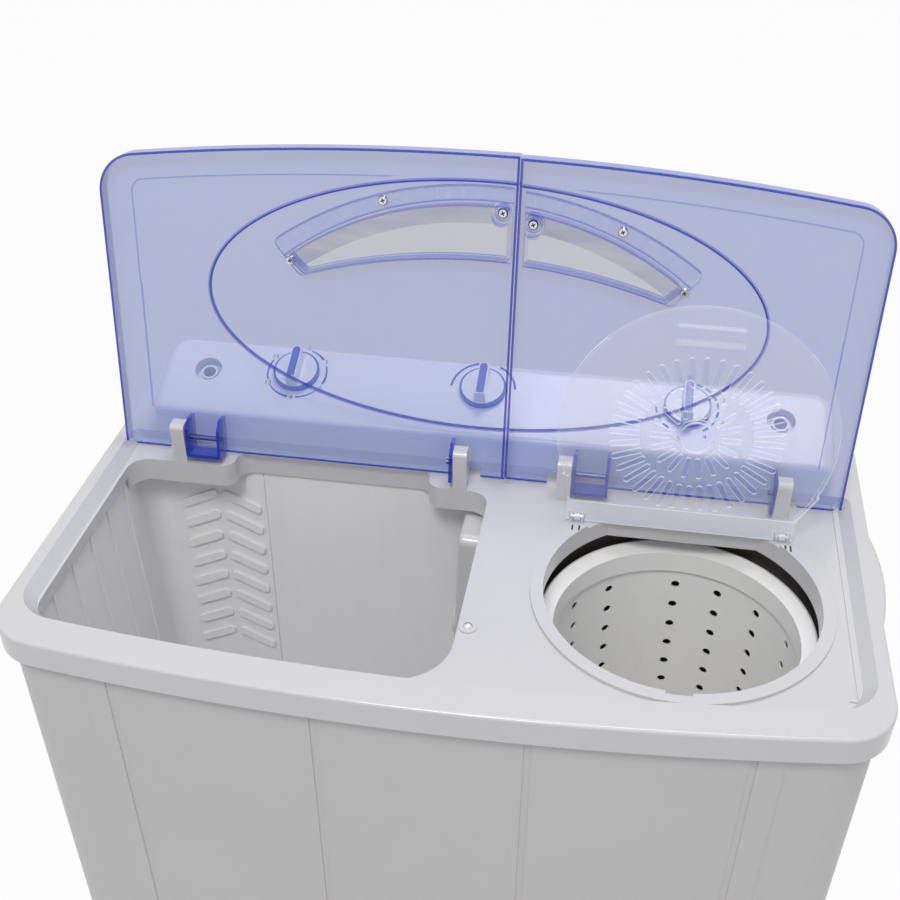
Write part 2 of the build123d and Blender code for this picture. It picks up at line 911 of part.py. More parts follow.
washboard_columns = (tub_left + washboard_first, tub_left + washboard_first + washboard_spacing)
side_rib_length = tub_top - tub_bottom - lip_depth - side_rib_foot
seam_length = tub_top - tub_bottom - lip_depth - seam_foot
with BuildPart() as wash_tub:
    with BuildSketch(Plane.XY.offset(tub_bottom - tub_floor)):
        add(tub_plan(tub_outer_grow - tub_draft))
    with BuildSketch(Plane.XY.offset(tub_top)):
        add(tub_plan(tub_outer_grow))
    loft(ruled=True)
    fillet(wash_tub.edges().group_by(Axis.Z)[0], tub_bottom_radius)
    with BuildSketch(Plane.XY.offset(tub_top - plastic_wall)):
        add(tub_plan(tub_outer_grow + tub_flange))
    extrude(amount=plastic_wall)
    with BuildSketch(Plane.XY.offset(tub_underside)):
        with Locations((pulsator_x, pulsator_y)):
            Circle(pulsator_radius + pulsator_gap + tub_floor)
    extrude(amount=tub_bottom - tub_underside - tub_floor / 2)
    add(tub_hollow.part, mode=Mode.SUBTRACT)
    with BuildSketch(Plane.XY.offset(recess_floor)):
        with Locations((pulsator_x, pulsator_y)):
            Circle(pulsator_radius + pulsator_gap)
    extrude(amount=pulsator_recess, mode=Mode.SUBTRACT)
    with BuildSketch(Plane.XY.offset(tub_underside)):
        with Locations((pulsator_x, pulsator_y)):
            Circle(pulsator_shaft_radius + touch_gap)
    extrude(amount=tub_floor, mode=Mode.SUBTRACT)
    with BuildSketch(Plane.XY.offset(tub_bottom - tub_floor)):
        with Locations((drain_x, drain_y)):
            Circle(drain_hole_radius)
    extrude(amount=tub_floor, mode=Mode.SUBTRACT)
    with BuildSketch(Plane.XY.offset(tub_top - plastic_wall)):
        with Locations((deck_screw_x, deck_screw_y)):
            Circle(cover_screw_radius + touch_gap)
    extrude(amount=plastic_wall, mode=Mode.SUBTRACT)
    rib_middle = -washboard_top - washboard_pitch * (washboard_rows - 1) / 2
    for slant, column in zip((washboard_slant, -washboard_slant), washboard_columns):
        with BuildSketch(back_wall.offset(-plastic_wall / 2)):
            with Locations((column, rib_middle)):
                with GridLocations(0, washboard_pitch, 1, washboard_rows):
                    SlotOverall(washboard_rib_length, washboard_rib_width, rotation=slant)
        extrude(amount=washboard_rib_height + plastic_wall / 2)
    with BuildSketch(left_wall.offset(-plastic_wall / 2)):
        with Locations((tub_back - side_rib_back, -side_rib_length / 2 - lip_depth)):
            with GridLocations(side_rib_pitch, 0, side_rib_count, 1):
                Rectangle(side_rib_width, side_rib_length)
    extrude(amount=side_rib_height + plastic_wall / 2)
    with BuildSketch(back_wall.offset(-groove_depth)):
        with Locations((tub_left + seam_aside, -lip_depth - seam_length / 2)):
            Rectangle(groove_width, seam_length)
    extrude(amount=2 * groove_depth, mode=Mode.SUBTRACT)
finish(wash_tub.part, "wash_tub")

# Filter cover and the lint cassette behind it
filter_middle = -filter_top - filter_length / 2
louvre_middle = -filter_top - filter_corner - filter_wall - louvre_pitch * louvre_count / 2
with BuildPart() as filter_cover:
    with BuildSketch(right_wall):
        with Locations((-filter_y, filter_middle)):
            RectangleRounded(filter_width, filter_length, filter_corner)
    extrude(amount=filter_depth)
    fillet(filter_cover.faces().sort_by(Axis.X)[0].edges(), filter_edge_radius)
    with BuildSketch(right_wall):
        with Locations((-filter_y, filter_middle)):
            RectangleRounded(
                filter_width - 2 * filter_wall, filter_length - 2 * filter_wall, filter_corner - filter_wall
            )
    extrude(amount=filter_depth - filter_wall, mode=Mode.SUBTRACT)
    with BuildSketch(right_wall.offset(filter_depth - 2 * filter_wall)):
        with Locations((-filter_y, louvre_middle)):
            with GridLocations(0, louvre_pitch, 1, louvre_count):
                SlotOverall(louvre_length, louvre_width, rotation=louvre_slant)
    extrude(amount=3 * filter_wall, mode=Mode.SUBTRACT)
    with BuildSketch(right_wall.offset(filter_depth - filter_wall)):
        with Locations((-filter_y, -filter_top - filter_length + filter_boss_radius + filter_wall)):
            Circle(filter_boss_radius)
    extrude(amount=filter_boss_rise + filter_wall, taper=filter_boss_taper)
finish(filter_cover.part, "filter_cover")

with BuildPart() as lint_filter:
    cassette_width = filter_width - 2 * filter_wall - 2 * cassette_gap
    cassette_length = filter_length - 2 * filter_wall - 2 * cassette_gap
    with BuildSketch(right_wall.offset(touch_gap)):
        with Locations((-filter_y, filter_middle)):
            RectangleRounded(cassette_width, cassette_length, filter_corner - filter_wall - cassette_gap)
    extrude(amount=filter_depth / 2)
    with BuildSketch(right_wall.offset(touch_gap + filter_wall)):
        with Locations((-filter_y, filter_middle)):
            with GridLocations(0, cassette_length / cassette_windows, 1, cassette_windows):
                Rectangle(
                    cassette_width - 2 * cassette_frame,
                    cassette_length / cassette_windows - 2 * cassette_frame,
                )
    extrude(amount=filter_depth / 2, mode=Mode.SUBTRACT)
finish(lint_filter.part, "lint_filter")

# Pulsator with curved vanes, its shaft, cap screw, bearing and pulley
pulsator_seat = recess_floor + pulsator_float
pulsator_top = pulsator_seat + pulsator_hub_rise
with BuildPart() as pulsator:
    with BuildSketch(Plane.XZ.offset(-pulsator_y)):
        with BuildLine():
            Polyline(
                (pulsator_x + pulsator_shaft_radius, pulsator_seat),
                (pulsator_x + pulsator_radius, pulsator_seat),
                (pulsator_x + pulsator_radius, pulsator_seat + pulsator_rim),
            )
            Spline(
                (pulsator_x + pulsator_radius, pulsator_seat + pulsator_rim),
                (pulsator_x + pulsator_radius / 2, pulsator_seat + pulsator_dish),
                (pulsator_x + pulsator_hub_radius, pulsator_top),
            )
            Polyline(
                (pulsator_x + pulsator_hub_radius, pulsator_top),
                (pulsator_x + pulsator_shaft_radius, pulsator_top),
                (pulsator_x + pulsator_shaft_radius, pulsator_seat),
            )
        make_face()
    revolve(axis=Axis((pulsator_x, pulsator_y, 0), (0, 0, 1)))
    with BuildSketch(Plane.XY.offset(pulsator_seat + plastic_wall)):
        with Locations((pulsator_x, pulsator_y)):
            with PolarLocations(pulsator_radius / 2, pulsator_vanes):
                SlotOverall(pulsator_vane_length, pulsator_vane_width)
    extrude(amount=pulsator_vane_height, taper=pulsator_vane_taper)
finish(pulsator.part, "pulsator")

with BuildPart() as pulsator_cap:
    with BuildSketch(Plane.XY.offset(pulsator_top)):
        with Locations((pulsator_x, pulsator_y)):
            Circle(pulsator_cap_radius)
    extrude(amount=pulsator_cap_height, taper=pulsator_cap_taper)
finish(pulsator_cap.part, "pulsator_cap")

shaft_bottom = belt_level - belt_height
with BuildPart() as pulsator_shaft:
    with BuildSketch(Plane.XY.offset(shaft_bottom)):
        with Locations((pulsator_x, pulsator_y)):
            Circle(pulsator_shaft_radius)
    extrude(amount=pulsator_top - shaft_bottom)
finish(pulsator_shaft.part, "pulsator_shaft")

with BuildPart() as pulsator_bearing:
    with BuildSketch(Plane.XY.offset(tub_underside - bearing_height)):
        with Locations((pulsator_x, pulsator_y)):
            Circle(bearing_radius)
    extrude(amount=bearing_height)
    with BuildSketch(Plane.XY.offset(tub_underside - tub_floor)):
        with Locations((pulsator_x, pulsator_y)):
            Circle(bearing_flange_radius)
    extrude(amount=tub_floor)
    with BuildSketch(Plane.XY.offset(tub_underside - bearing_height)):
        with Locations((pulsator_x, pulsator_y)):
            Circle(pulsator_shaft_radius + running_gap)
    extrude(amount=bearing_height, mode=Mode.SUBTRACT)
    with BuildSketch(Plane.XY.offset(tub_underside - tub_floor)):
        with Locations((pulsator_x, pulsator_y)):
            with PolarLocations((bearing_radius + bearing_flange_radius) / 2, bearing_screws):
                Circle(cover_screw_radius)
    extrude(amount=tub_floor, mode=Mode.SUBTRACT)
finish(pulsator_bearing.part, "pulsator_bearing")


def pulley(x, y, groove_radius, bore, name):
    """Grooved belt pulley around an upright shaft."""
    flange = groove_radius + groove_lip
    half_belt = belt_height / 2 + touch_gap
    with BuildPart() as wheel:
        with BuildSketch(Plane.XZ.offset(-y)):
            with BuildLine():
                top = belt_level + half_belt + pulley_flange
                low = belt_level - half_belt - pulley_flange
                Polyline(
                    (x + bore, low), (x + flange, low),
                    (x + flange, belt_level - half_belt - groove_slope),
                    (x + groove_radius, belt_level - half_belt),
                    (x + groove_radius, belt_level + half_belt),
                    (x + flange, belt_level + half_belt + groove_slope),
                    (x + flange, top), (x + bore, top), close=True,
                )
            make_face()
        revolve(axis=Axis((x, y, 0), (0, 0, 1)))
        if groove_radius > pulley_window_circle + pulley_window_radius:
            with BuildSketch(Plane.XY.offset(belt_level)):
                with Locations((x, y)):
                    with PolarLocations(pulley_window_circle, pulley_windows):
                        Circle(pulley_window_radius)
            extrude(amount=2 * belt_height, both=True, mode=Mode.SUBTRACT)
    finish(wheel.part, name)


pulley(pulsator_x, pulsator_y, large_groove_radius, pulsator_shaft_radius, "pulsator_pulley")
pulley(wash_motor_x, pulsator_y, small_groove_radius, motor_shaft_radius, "motor_pulley")


def belt_outline(extra):
    """Outline of the belt around both pulleys."""
    with BuildSketch() as loop:
        with BuildLine():
            CenterArc((pulsator_x, pulsator_y), large_groove_radius + extra, 0, 360)
            CenterArc((wash_motor_x, pulsator_y), small_groove_radius + extra, 0, 360)
        make_hull()
    return loop.sketch


with BuildPart() as drive_belt:
    with BuildSketch(Plane.XY.offset(belt_level - belt_height / 2)):
        add(belt_outline(belt_gap + belt_thickness))
        add(belt_outline(belt_gap), mode=Mode.SUBTRACT)
    extrude(amount=belt_height)
finish(drive_belt.part, "drive_belt")

# Wash motor, its bracket and its shaft
motor_top = wash_motor_bottom + wash_motor_height
with BuildPart() as wash_motor:
    with BuildSketch(Plane.XY.offset(wash_motor_bottom)):
        with Locations((wash_motor_x, pulsator_y)):
            Circle(wash_motor_radius)
    extrude(amount=wash_motor_height)
    chamfer(wash_motor.edges().group_by(Axis.Z)[-1], wash_motor_shoulder)
    with BuildSketch(Plane.XY.offset(wash_motor_bottom + wash_motor_height / 4)):
        with Locations((wash_motor_x, pulsator_y)):
            Rectangle(2 * wash_motor_radius, 2 * wash_motor_radius)
            Circle(wash_motor_radius - plastic_wall, mode=Mode.SUBTRACT)
            Circle(wash_motor_radius + wash_motor_band, mode=Mode.INTERSECT)
    extrude(amount=wash_motor_height / 3)
    with BuildSketch(Plane.XY.offset(wash_motor_bottom + motor_shaft_foot)):
        with Locations((wash_motor_x, pulsator_y)):
            Circle(motor_shaft_radius + running_gap)
    extrude(amount=wash_motor_height, mode=Mode.SUBTRACT)
finish(wash_motor.part, "wash_motor")

with BuildPart() as motor_shaft:
    with BuildSketch(Plane.XY.offset(wash_motor_bottom + motor_shaft_foot + touch_gap)):
        with Locations((wash_motor_x, pulsator_y)):
            Circle(motor_shaft_radius)
    extrude(amount=belt_level + 2 * belt_height - wash_motor_bottom - motor_shaft_foot)
finish(motor_shaft.part, "motor_shaft")

with BuildPart() as wash_motor_bracket:
    with BuildSketch(Plane.XZ.offset(-pulsator_y - wash_motor_radius)):
        with BuildLine():
            leg = wash_motor_radius - bracket_sheet
            Polyline(
                (wash_motor_x - leg, base_top), (wash_motor_x - leg, wash_motor_bottom),
                (wash_motor_x + leg, wash_motor_bottom), (wash_motor_x + leg, base_top),
                (wash_motor_x + leg - bracket_sheet, base_top),
                (wash_motor_x + leg - bracket_sheet, wash_motor_bottom - bracket_sheet),
                (wash_motor_x - leg + bracket_sheet, wash_motor_bottom - bracket_sheet),
                (wash_motor_x - leg + bracket_sheet, base_top), close=True,
            )
        make_face()
    extrude(amount=2 * wash_motor_radius)
finish(wash_motor_bracket.part, "wash_motor_bracket")

# Spin outer tub and its rubber seal
with BuildPart() as spin_hollow:
    with BuildSketch(Plane.XY.offset(outer_tub_bottom + plastic_wall)):
        with Locations((spin_x, spin_y)):
            Circle(outer_tub_radius)
    extrude(amount=tub_top - outer_tub_bottom)
    fillet(spin_hollow.edges().group_by(Axis.Z)[0], outer_tub_corner - plastic_wall)

with BuildPart() as spin_outer_tub:
    with BuildSketch(Plane.XY.offset(outer_tub_bottom)):
        with Locations((spin_x, spin_y)):
            Circle(outer_tub_radius + plastic_wall)
    extrude(amount=tub_top - outer_tub_bottom)
    fillet(spin_outer_tub.edges().group_by(Axis.Z)[0], outer_tub_corner)
    with BuildSketch(Plane.XY.offset(tub_top - plastic_wall)):
        with Locations((spin_x, spin_y)):
            Circle(outer_tub_radius + plastic_wall + outer_tub_flange)
    extrude(amount=plastic_wall)
    add(spin_hollow.part, mode=Mode.SUBTRACT)
    with BuildSketch(Plane.XY.offset(outer_tub_bottom)):
        with Locations((spin_x, spin_y)):
            Circle(2 * spin_shaft_radius)
        with Locations((spin_drain_x, drain_y)):
            Circle(spin_drain_bore)
    extrude(amount=plastic_wall, mode=Mode.SUBTRACT)
    with BuildSketch(Plane.XY.offset(brake_drum_bottom)):
        with Locations((brake_pivot_x, brake_pivot_y)):
            Circle(brake_pivot_radius)
    extrude(amount=outer_tub_bottom - brake_drum_bottom + plastic_wall / 2)
finish(spin_outer_tub.part, "spin_outer_tub")

with BuildPart() as spin_seal:
    with BuildSketch(Plane.XZ.offset(-spin_y)):
        with BuildLine():
            inner = spin_x + spin_shaft_radius + running_gap
            outer = spin_x + 2 * spin_shaft_radius
            rise = outer_tub_bottom
            Polyline(
                (inner, rise - seal_drop), (inner + seal_width, rise - seal_drop),
                (inner + seal_width, rise - seal_width), (outer + seal_flange, rise - seal_width),
                (outer + seal_flange, rise), (outer, rise), (outer, rise + seal_lip - seal_flange),
                (inner + seal_width, rise + seal_lip), (inner, rise + seal_lip), close=True,
            )
        make_face()
    revolve(axis=Axis((spin_x, spin_y, 0), (0, 0, 1)))
finish(spin_seal.part, "spin_seal")

# Spin basket: a drilled drum with a raised hub
with BuildPart() as spin_basket:
    with BuildSketch(Plane.XZ.offset(-spin_y)):
        with BuildLine():
            low = basket_bottom_level
            foot = spin_x + basket_radius - basket_taper
            Polyline(
                (spin_x + basket_radius, basket_top_level), (foot, low + basket_corner),
                (foot - basket_corner, low), (spin_x + spin_shaft_radius, low),
                (spin_x + spin_shaft_radius, low + hub_rise),
                (spin_x + hub_radius - hub_slope, low + hub_rise),
                (spin_x + hub_radius, low + hub_rise - hub_slope),
                (spin_x + hub_radius + hub_slope, low + basket_floor),
                (foot - basket_corner, low + basket_floor),
                (foot - basket_wall, low + basket_corner),
                (spin_x + basket_radius - basket_wall, basket_top_level), close=True,
            )
        make_face()
    revolve(axis=Axis((spin_x, spin_y, 0), (0, 0, 1)))
    hole_rows_middle = basket_top_level - basket_hole_start - basket_hole_pitch * (basket_hole_rows - 1) / 2
    for turn in (0, 180):
        for angle in basket_hole_angles:
            column = Plane(
                origin=(spin_x, spin_y, hole_rows_middle),
                x_dir=(cos(radians(angle + turn)), sin(radians(angle + turn)), 0),
                z_dir=(sin(radians(angle + turn)), -cos(radians(angle + turn)), 0),
            )
            with BuildSketch(column.offset(basket_radius - 2 * basket_taper)):
                with GridLocations(0, basket_hole_pitch, 1, basket_hole_rows):
                    Circle(basket_hole_radius)
            extrude(amount=3 * basket_taper, mode=Mode.SUBTRACT)
finish(spin_basket.part, "spin_basket")

with BuildPart() as balance_ring:
    with BuildSketch(Plane.XZ.offset(-spin_y)) as ring_section:
        with BuildLine():
            Polyline(
                (spin_x + balance_inner_radius, basket_top_level),
                (spin_x + balance_outer_radius, basket_top_level),
                (spin_x + balance_outer_radius, deck_height - balance_top),
                (spin_x + balance_inner_radius, deck_height - balance_top - balance_slope), close=True,
            )
        make_face()
        fillet(ring_section.vertices().group_by(Axis.Y)[-1], plastic_wall)
    revolve(axis=Axis((spin_x, spin_y, 0), (0, 0, 1)))
finish(balance_ring.part, "balance_ring")

# Spin shaft, brake drum, motor and its three rubber mounts
spin_motor_top = spin_motor_bottom + spin_motor_height
with BuildPart() as spin_shaft:
    with BuildSketch(Plane.XY.offset(spin_motor_bottom + spin_motor_bell)):
        with Locations((spin_x, spin_y)):
            Circle(spin_shaft_radius)
    extrude(amount=basket_bottom_level + hub_rise - spin_motor_bottom - spin_motor_bell)
    with BuildSketch(Plane.XY.offset(basket_bottom_level + hub_rise)):
        with Locations((spin_x, spin_y)):
            RegularPolygon(2 * spin_shaft_radius, 6)
    extrude(amount=spin_shaft_radius)
finish(spin_shaft.part, "spin_shaft")

with BuildPart() as brake_drum:
    with BuildSketch(Plane.XY.offset(brake_drum_bottom)):
        with Locations((spin_x, spin_y)):
            Circle(brake_drum_radius)
            Circle(spin_shaft_radius, mode=Mode.SUBTRACT)
    extrude(amount=brake_drum_height)
    with BuildSketch(Plane.XY.offset(brake_drum_bottom)):
        with Locations((spin_x, spin_y)):
            Circle(brake_drum_radius - brake_shoe_thickness)
            Circle(2 * spin_shaft_radius, mode=Mode.SUBTRACT)
    extrude(amount=brake_drum_height - brake_shoe_thickness, mode=Mode.SUBTRACT)
finish(brake_drum.part, "brake_drum")

with BuildPart() as spin_motor:
    with BuildSketch(Plane.XY.offset(spin_motor_bottom)):
        with Locations((spin_x, spin_y)):
            Circle(spin_motor_radius)
    extrude(amount=spin_motor_height)
    chamfer(spin_motor.edges().group_by(Axis.Z)[-1], spin_motor_bell / 2)
    chamfer(spin_motor.edges().group_by(Axis.Z)[0], spin_motor_bell / 4)
    with BuildSketch(Plane.XY.offset(spin_motor_bottom + spin_motor_bell - touch_gap)):
        with Locations((spin_x, spin_y)):
            Circle(spin_shaft_radius + running_gap)
    extrude(amount=spin_motor_height, mode=Mode.SUBTRACT)
    with BuildSketch(Plane.XY.offset(spin_motor_bottom + spin_motor_bell)):
        with Locations((spin_x, spin_y)):
            Circle(spin_motor_radius + plastic_wall)
            Circle(spin_motor_radius - plastic_wall, mode=Mode.SUBTRACT)
    extrude(amount=spin_motor_height - 3 * spin_motor_bell)
finish(spin_motor.part, "spin_motor")

with BuildPart() as spin_motor_bracket:
    with BuildSketch(Plane.XY.offset(spin_motor_bottom - bracket_sheet)):
        with Locations((spin_x, spin_y)):
            Circle(spin_motor_radius)
            with PolarLocations(mount_circle, mount_count, start_angle=90):
                Circle(mount_pad)
                Rectangle(mount_circle, 2 * mount_radius)
    extrude(amount=bracket_sheet)
finish(spin_motor_bracket.part, "spin_motor_bracket")

with BuildPart() as spin_motor_mounts:
    mount_height = spin_motor_bottom - bracket_sheet - base_top
    for level, radius, height in (
        (base_top, mount_radius, mount_height / 3),
        (base_top, mount_radius - mount_waist, mount_height),
        (spin_motor_bottom - bracket_sheet, mount_radius, -mount_height / 3),
    ):
        with BuildSketch(Plane.XY.offset(level)):
            with Locations((spin_x, spin_y)):
                with PolarLocations(mount_circle, mount_count, start_angle=90):
                    Circle(radius)
        extrude(amount=height)
finish(spin_motor_mounts.part, "spin_motor_mounts")

# Brake lever that the spin lid pulls
lever_level = brake_drum_bottom + brake_drum_height / 2 - brake_lever_thickness / 2
with BuildPart() as brake_lever:
    with BuildSketch(Plane.XY.offset(lever_level)):
        with Locations((brake_pivot_x, brake_pivot_y)):
            Circle(brake_eye_radius)
        lever_end = spin_y + brake_drum_radius * sin(radians(brake_shoe_half_angle))
        shoe_x = spin_x - brake_drum_radius - brake_shoe_thickness
        with BuildLine():
            Polyline(
                (brake_pivot_x - brake_lever_width / 2, brake_pivot_y),
                (brake_pivot_x + brake_lever_width / 2, brake_pivot_y),
                (shoe_x, spin_y - brake_lever_width), (shoe_x, lever_end),
                (shoe_x - brake_lever_width / 2, lever_end), close=True,
            )
        make_face()
        with Locations((brake_pivot_x, brake_pivot_y)):
            Circle(brake_pivot_radius + running_gap, mode=Mode.SUBTRACT)
    extrude(amount=brake_lever_thickness)
    with BuildSketch(Plane.XY.offset(lever_level - brake_shoe_thickness)):
        with Locations((spin_x, spin_y)):
            Circle(brake_drum_radius + touch_gap + 2 * brake_shoe_thickness)
            Circle(brake_drum_radius + touch_gap, mode=Mode.SUBTRACT)
        with BuildLine():
            far = 2 * brake_drum_radius
            Polyline(
                (spin_x, spin_y),
                (spin_x - far, spin_y + far * tan(radians(brake_shoe_half_angle))),
                (spin_x - far, spin_y - far * tan(radians(brake_shoe_half_angle))), close=True,
            )
        make_face(mode=Mode.INTERSECT)
    extrude(amount=brake_lever_thickness + 2 * brake_shoe_thickness)
finish(brake_lever.part, "brake_lever")

# Drain valve, its plug and pipes
outlet_wall_x = -half_width + cabinet_inset
outlet_inner_x = outlet_wall_x + outlet_inner_reach
with BuildPart() as drain_valve_body:
    with BuildSketch(Plane.XY.offset(valve_bottom)):
        with Locations((drain_x, drain_y)):
            Circle(valve_radius)
    extrude(amount=tub_bottom - tub_floor - valve_bottom)
    with BuildSketch(Plane.XY.offset(valve_bottom + valve_floor)):
        with Locations((drain_x, drain_y)):
            Circle(valve_bore)
    extrude(amount=valve_seat - 2 * valve_floor - valve_bottom, mode=Mode.SUBTRACT)
    with BuildSketch(Plane.XY.offset(valve_seat)):
        with Locations((drain_x, drain_y)):
            Circle(valve_bore)
    extrude(amount=tub_bottom - valve_seat, mode=Mode.SUBTRACT)
    with BuildSketch(Plane.XY.offset(valve_seat - valve_floor)):
        with Locations((drain_x, drain_y)):
            Circle(valve_seat_radius)
    extrude(amount=valve_floor, mode=Mode.SUBTRACT)
    with BuildSketch(Plane.XY.offset(valve_bottom)):
        with Locations((drain_x, drain_y)):
            Circle(plug_stem_radius + running_gap)
    extrude(amount=valve_floor, mode=Mode.SUBTRACT)
    with BuildSketch(Plane.YZ.offset(drain_x)):
        with Locations((drain_y, hose_level)):
            Circle(spin_drain_bore)
    extrude(amount=valve_radius, mode=Mode.SUBTRACT)
    with BuildSketch(Plane.YZ.offset(drain_x)):
        with Locations((drain_y, hose_level)):
            Circle(hose_bore)
    extrude(amount=-valve_radius, mode=Mode.SUBTRACT)
finish(drain_valve_body.part, "drain_valve_body")

plug_low = valve_seat + touch_gap
with BuildPart() as drain_plug:
    with BuildSketch(Plane.XY.offset(plug_low)):
        with Locations((drain_x, drain_y)):
            Circle(plug_radius)
    extrude(amount=plug_height)
    chamfer(drain_plug.edges().group_by(Axis.Z)[-1], plug_height / 3)
    with BuildSketch(Plane.XY.offset(plug_low - plug_stem_length)):
        with Locations((drain_x, drain_y)):
            Circle(plug_stem_radius)
    extrude(amount=plug_stem_length)
finish(drain_plug.part, "drain_plug")

with BuildPart() as drain_hose:
    start = (drain_x - valve_radius - touch_gap, hose_level)
    with BuildLine() as hose_line:
        with BuildLine(Plane.XZ.offset(-drain_y)):
            FilletPolyline(
                start, (hose_drop_x, hose_level), (hose_drop_x, outlet_level),
                (outlet_inner_x, outlet_level), radius=hose_bend,
            )
    with BuildSketch(Plane(origin=(start[0], drain_y, start[1]), z_dir=(-1, 0, 0))):
        Circle(hose_radius)
        Circle(hose_bore, mode=Mode.SUBTRACT)
    sweep(path=hose_line.wires()[0])
finish(drain_hose.part, "drain_hose")

with BuildPart() as drain_outlet:
    with BuildSketch(Plane.YZ.offset(outlet_wall_x - outlet_reach)):
        with Locations((drain_y, outlet_level)):
            Circle(outlet_radius)
    extrude(amount=outlet_inner_x - outlet_wall_x + outlet_reach)
    with BuildSketch(Plane.YZ.offset(outlet_wall_x - plastic_wall)):
        with Locations((drain_y, outlet_level)):
            Circle(outlet_flange_radius)
    extrude(amount=plastic_wall)
    with BuildSketch(Plane.YZ.offset(outlet_wall_x - outlet_reach)):
        with Locations((drain_y, outlet_level)):
            Circle(hose_bore)
    extrude(amount=outlet_inner_x - outlet_wall_x + outlet_reach, mode=Mode.SUBTRACT)
finish(drain_outlet.part, "drain_outlet")

with BuildPart() as spin_drain_pipe:
    pipe_top = outer_tub_bottom
    with BuildLine() as pipe_line:
        with BuildLine(Plane.XZ.offset(-drain_y)):
            FilletPolyline(
                (spin_drain_x, pipe_top), (spin_drain_x, hose_level), (drain_x + valve_radius, hose_level),
                radius=spin_drain_bend,
            )
    with BuildSketch(Plane(origin=(spin_drain_x, drain_y, pipe_top), z_dir=(0, 0, -1))):
        Circle(spin_drain_radius)
        Circle(spin_drain_bore, mode=Mode.SUBTRACT)
    sweep(path=pipe_line.wires()[0])
finish(spin_drain_pipe.part, "spin_drain_pipe")

# Motor capacitor on the base tray
with BuildPart() as motor_capacitor:
    with BuildSketch(Plane.XY.offset(base_top)):
        with Locations((0, foot_y)):
            Circle(capacitor_radius)
    extrude(amount=capacitor_height)
    fillet(motor_capacitor.edges().group_by(Axis.Z)[-1], plastic_wall)
finish(motor_capacitor.part, "motor_capacitor")


def console_block(inset):
    """Solid of the control console, drawn in evenly for its hollow."""
    lip = deck_height + console_lip_rise
    top = lip + (console_top_back - console_lip_y) * tan(console_angle)
    drop = inset / cos(console_angle)
    front = console_lip_y + inset
    inner_lip = lip + inset * tan(console_angle) - drop
    inner_back = console_top_back + (drop - inset) / tan(console_angle)
    foot = rim_top - (plastic_wall if inset else 0)
    with BuildPart() as block:
        with BuildSketch(Plane.YZ.offset(console_centre - console_half + inset)) as side:
            with BuildLine():
                Polyline(
                    (front, foot), (front, inner_lip), (inner_back, top - inset),
                    (console_back - inset, top - inset), (console_back - inset, foot), close=True,
                )
            make_face()
            fillet(nearest_vertex(side, front, inner_lip), console_lip_radius - inset)
            fillet(nearest_vertex(side, inner_back, top), console_top_radius - inset)
        extrude(amount=2 * (console_half - inset))
        fillet(block.edges().filter_by(Axis.Z).group_by(Axis.Y)[-1], console_plan_radius - inset)
        slope_middle = console_plane.from_local_coords((console_centre, knob_up, 0))
        slope = block.faces().sort_by_distance(slope_middle)[0]
        ends = slope.edges().filter_by(lambda edge: edge.bounding_box().size.X < console_plan_radius)
        fillet(ends.filter_by(GeomType.LINE), console_end_radius - inset)
    return block.part


# Control console with knob holes and the two sunk water ports
with BuildPart() as console_panel:
    add(console_block(0))
    add(console_block(plastic_wall), mode=Mode.SUBTRACT)
    with BuildSketch(console_plane.offset(-plastic_wall / 2)):
        with GridLocations(2 * port_x, 0, 2, 1):
            with Locations((0, port_up)):
                Circle(port_radius + plastic_wall)
    extrude(amount=-port_depth - plastic_wall / 2)
    with BuildSketch(console_plane.offset(-port_depth)):
        with GridLocations(2 * port_x, 0, 2, 1):
            with Locations((0, port_up)):
                Circle(port_radius)
    extrude(amount=2 * port_depth, mode=Mode.SUBTRACT)
    with BuildSketch(console_plane.offset(-2 * port_depth)):
        with GridLocations(2 * port_x, 0, 2, 1):
            with Locations((0, port_up)):
                Circle(nozzle_radius + touch_gap)
        for x in knob_x:
            with Locations((x, knob_up)):
                Circle(stem_radius + stem_hole_gap)
    extrude(amount=3 * port_depth, mode=Mode.SUBTRACT)
finish(console_panel.part, "console_panel")


def inlet_nozzle(side, name):
    """Water inlet tube at the bottom of a sunk port."""
    with BuildPart() as nozzle:
        base = console_plane.offset(-port_depth)
        with BuildSketch(base.offset(-nozzle_length + nozzle_stand)):
            with Locations((side * port_x, port_up)):
                Circle(nozzle_radius)
        extrude(amount=nozzle_length)
        with BuildSketch(base):
            with Locations((side * port_x, port_up)):
                Circle(nozzle_flange)
        extrude(amount=plastic_wall)
        with BuildSketch(base.offset(-nozzle_length + nozzle_stand)):
            with Locations((side * port_x, port_up)):
                Circle(nozzle_bore)
        extrude(amount=nozzle_length, mode=Mode.SUBTRACT)
    finish(nozzle.part, name)


inlet_nozzle(-1, "wash_inlet_nozzle")
inlet_nozzle(1, "spin_inlet_nozzle")


def grip_plan(x, inset):
    """Grip bar of a knob: round at its pointing end and square at its foot."""
    with BuildSketch() as plan:
        with Locations((x, knob_up)):
            SlotOverall(grip_length - 2 * inset, grip_width - 2 * inset, rotation=90)
            with Locations((0, -grip_length / 2 + inset)):
                Rectangle(grip_width - 2 * inset, grip_width, align=(Align.CENTER, Align.MIN))
    return plan.sketch


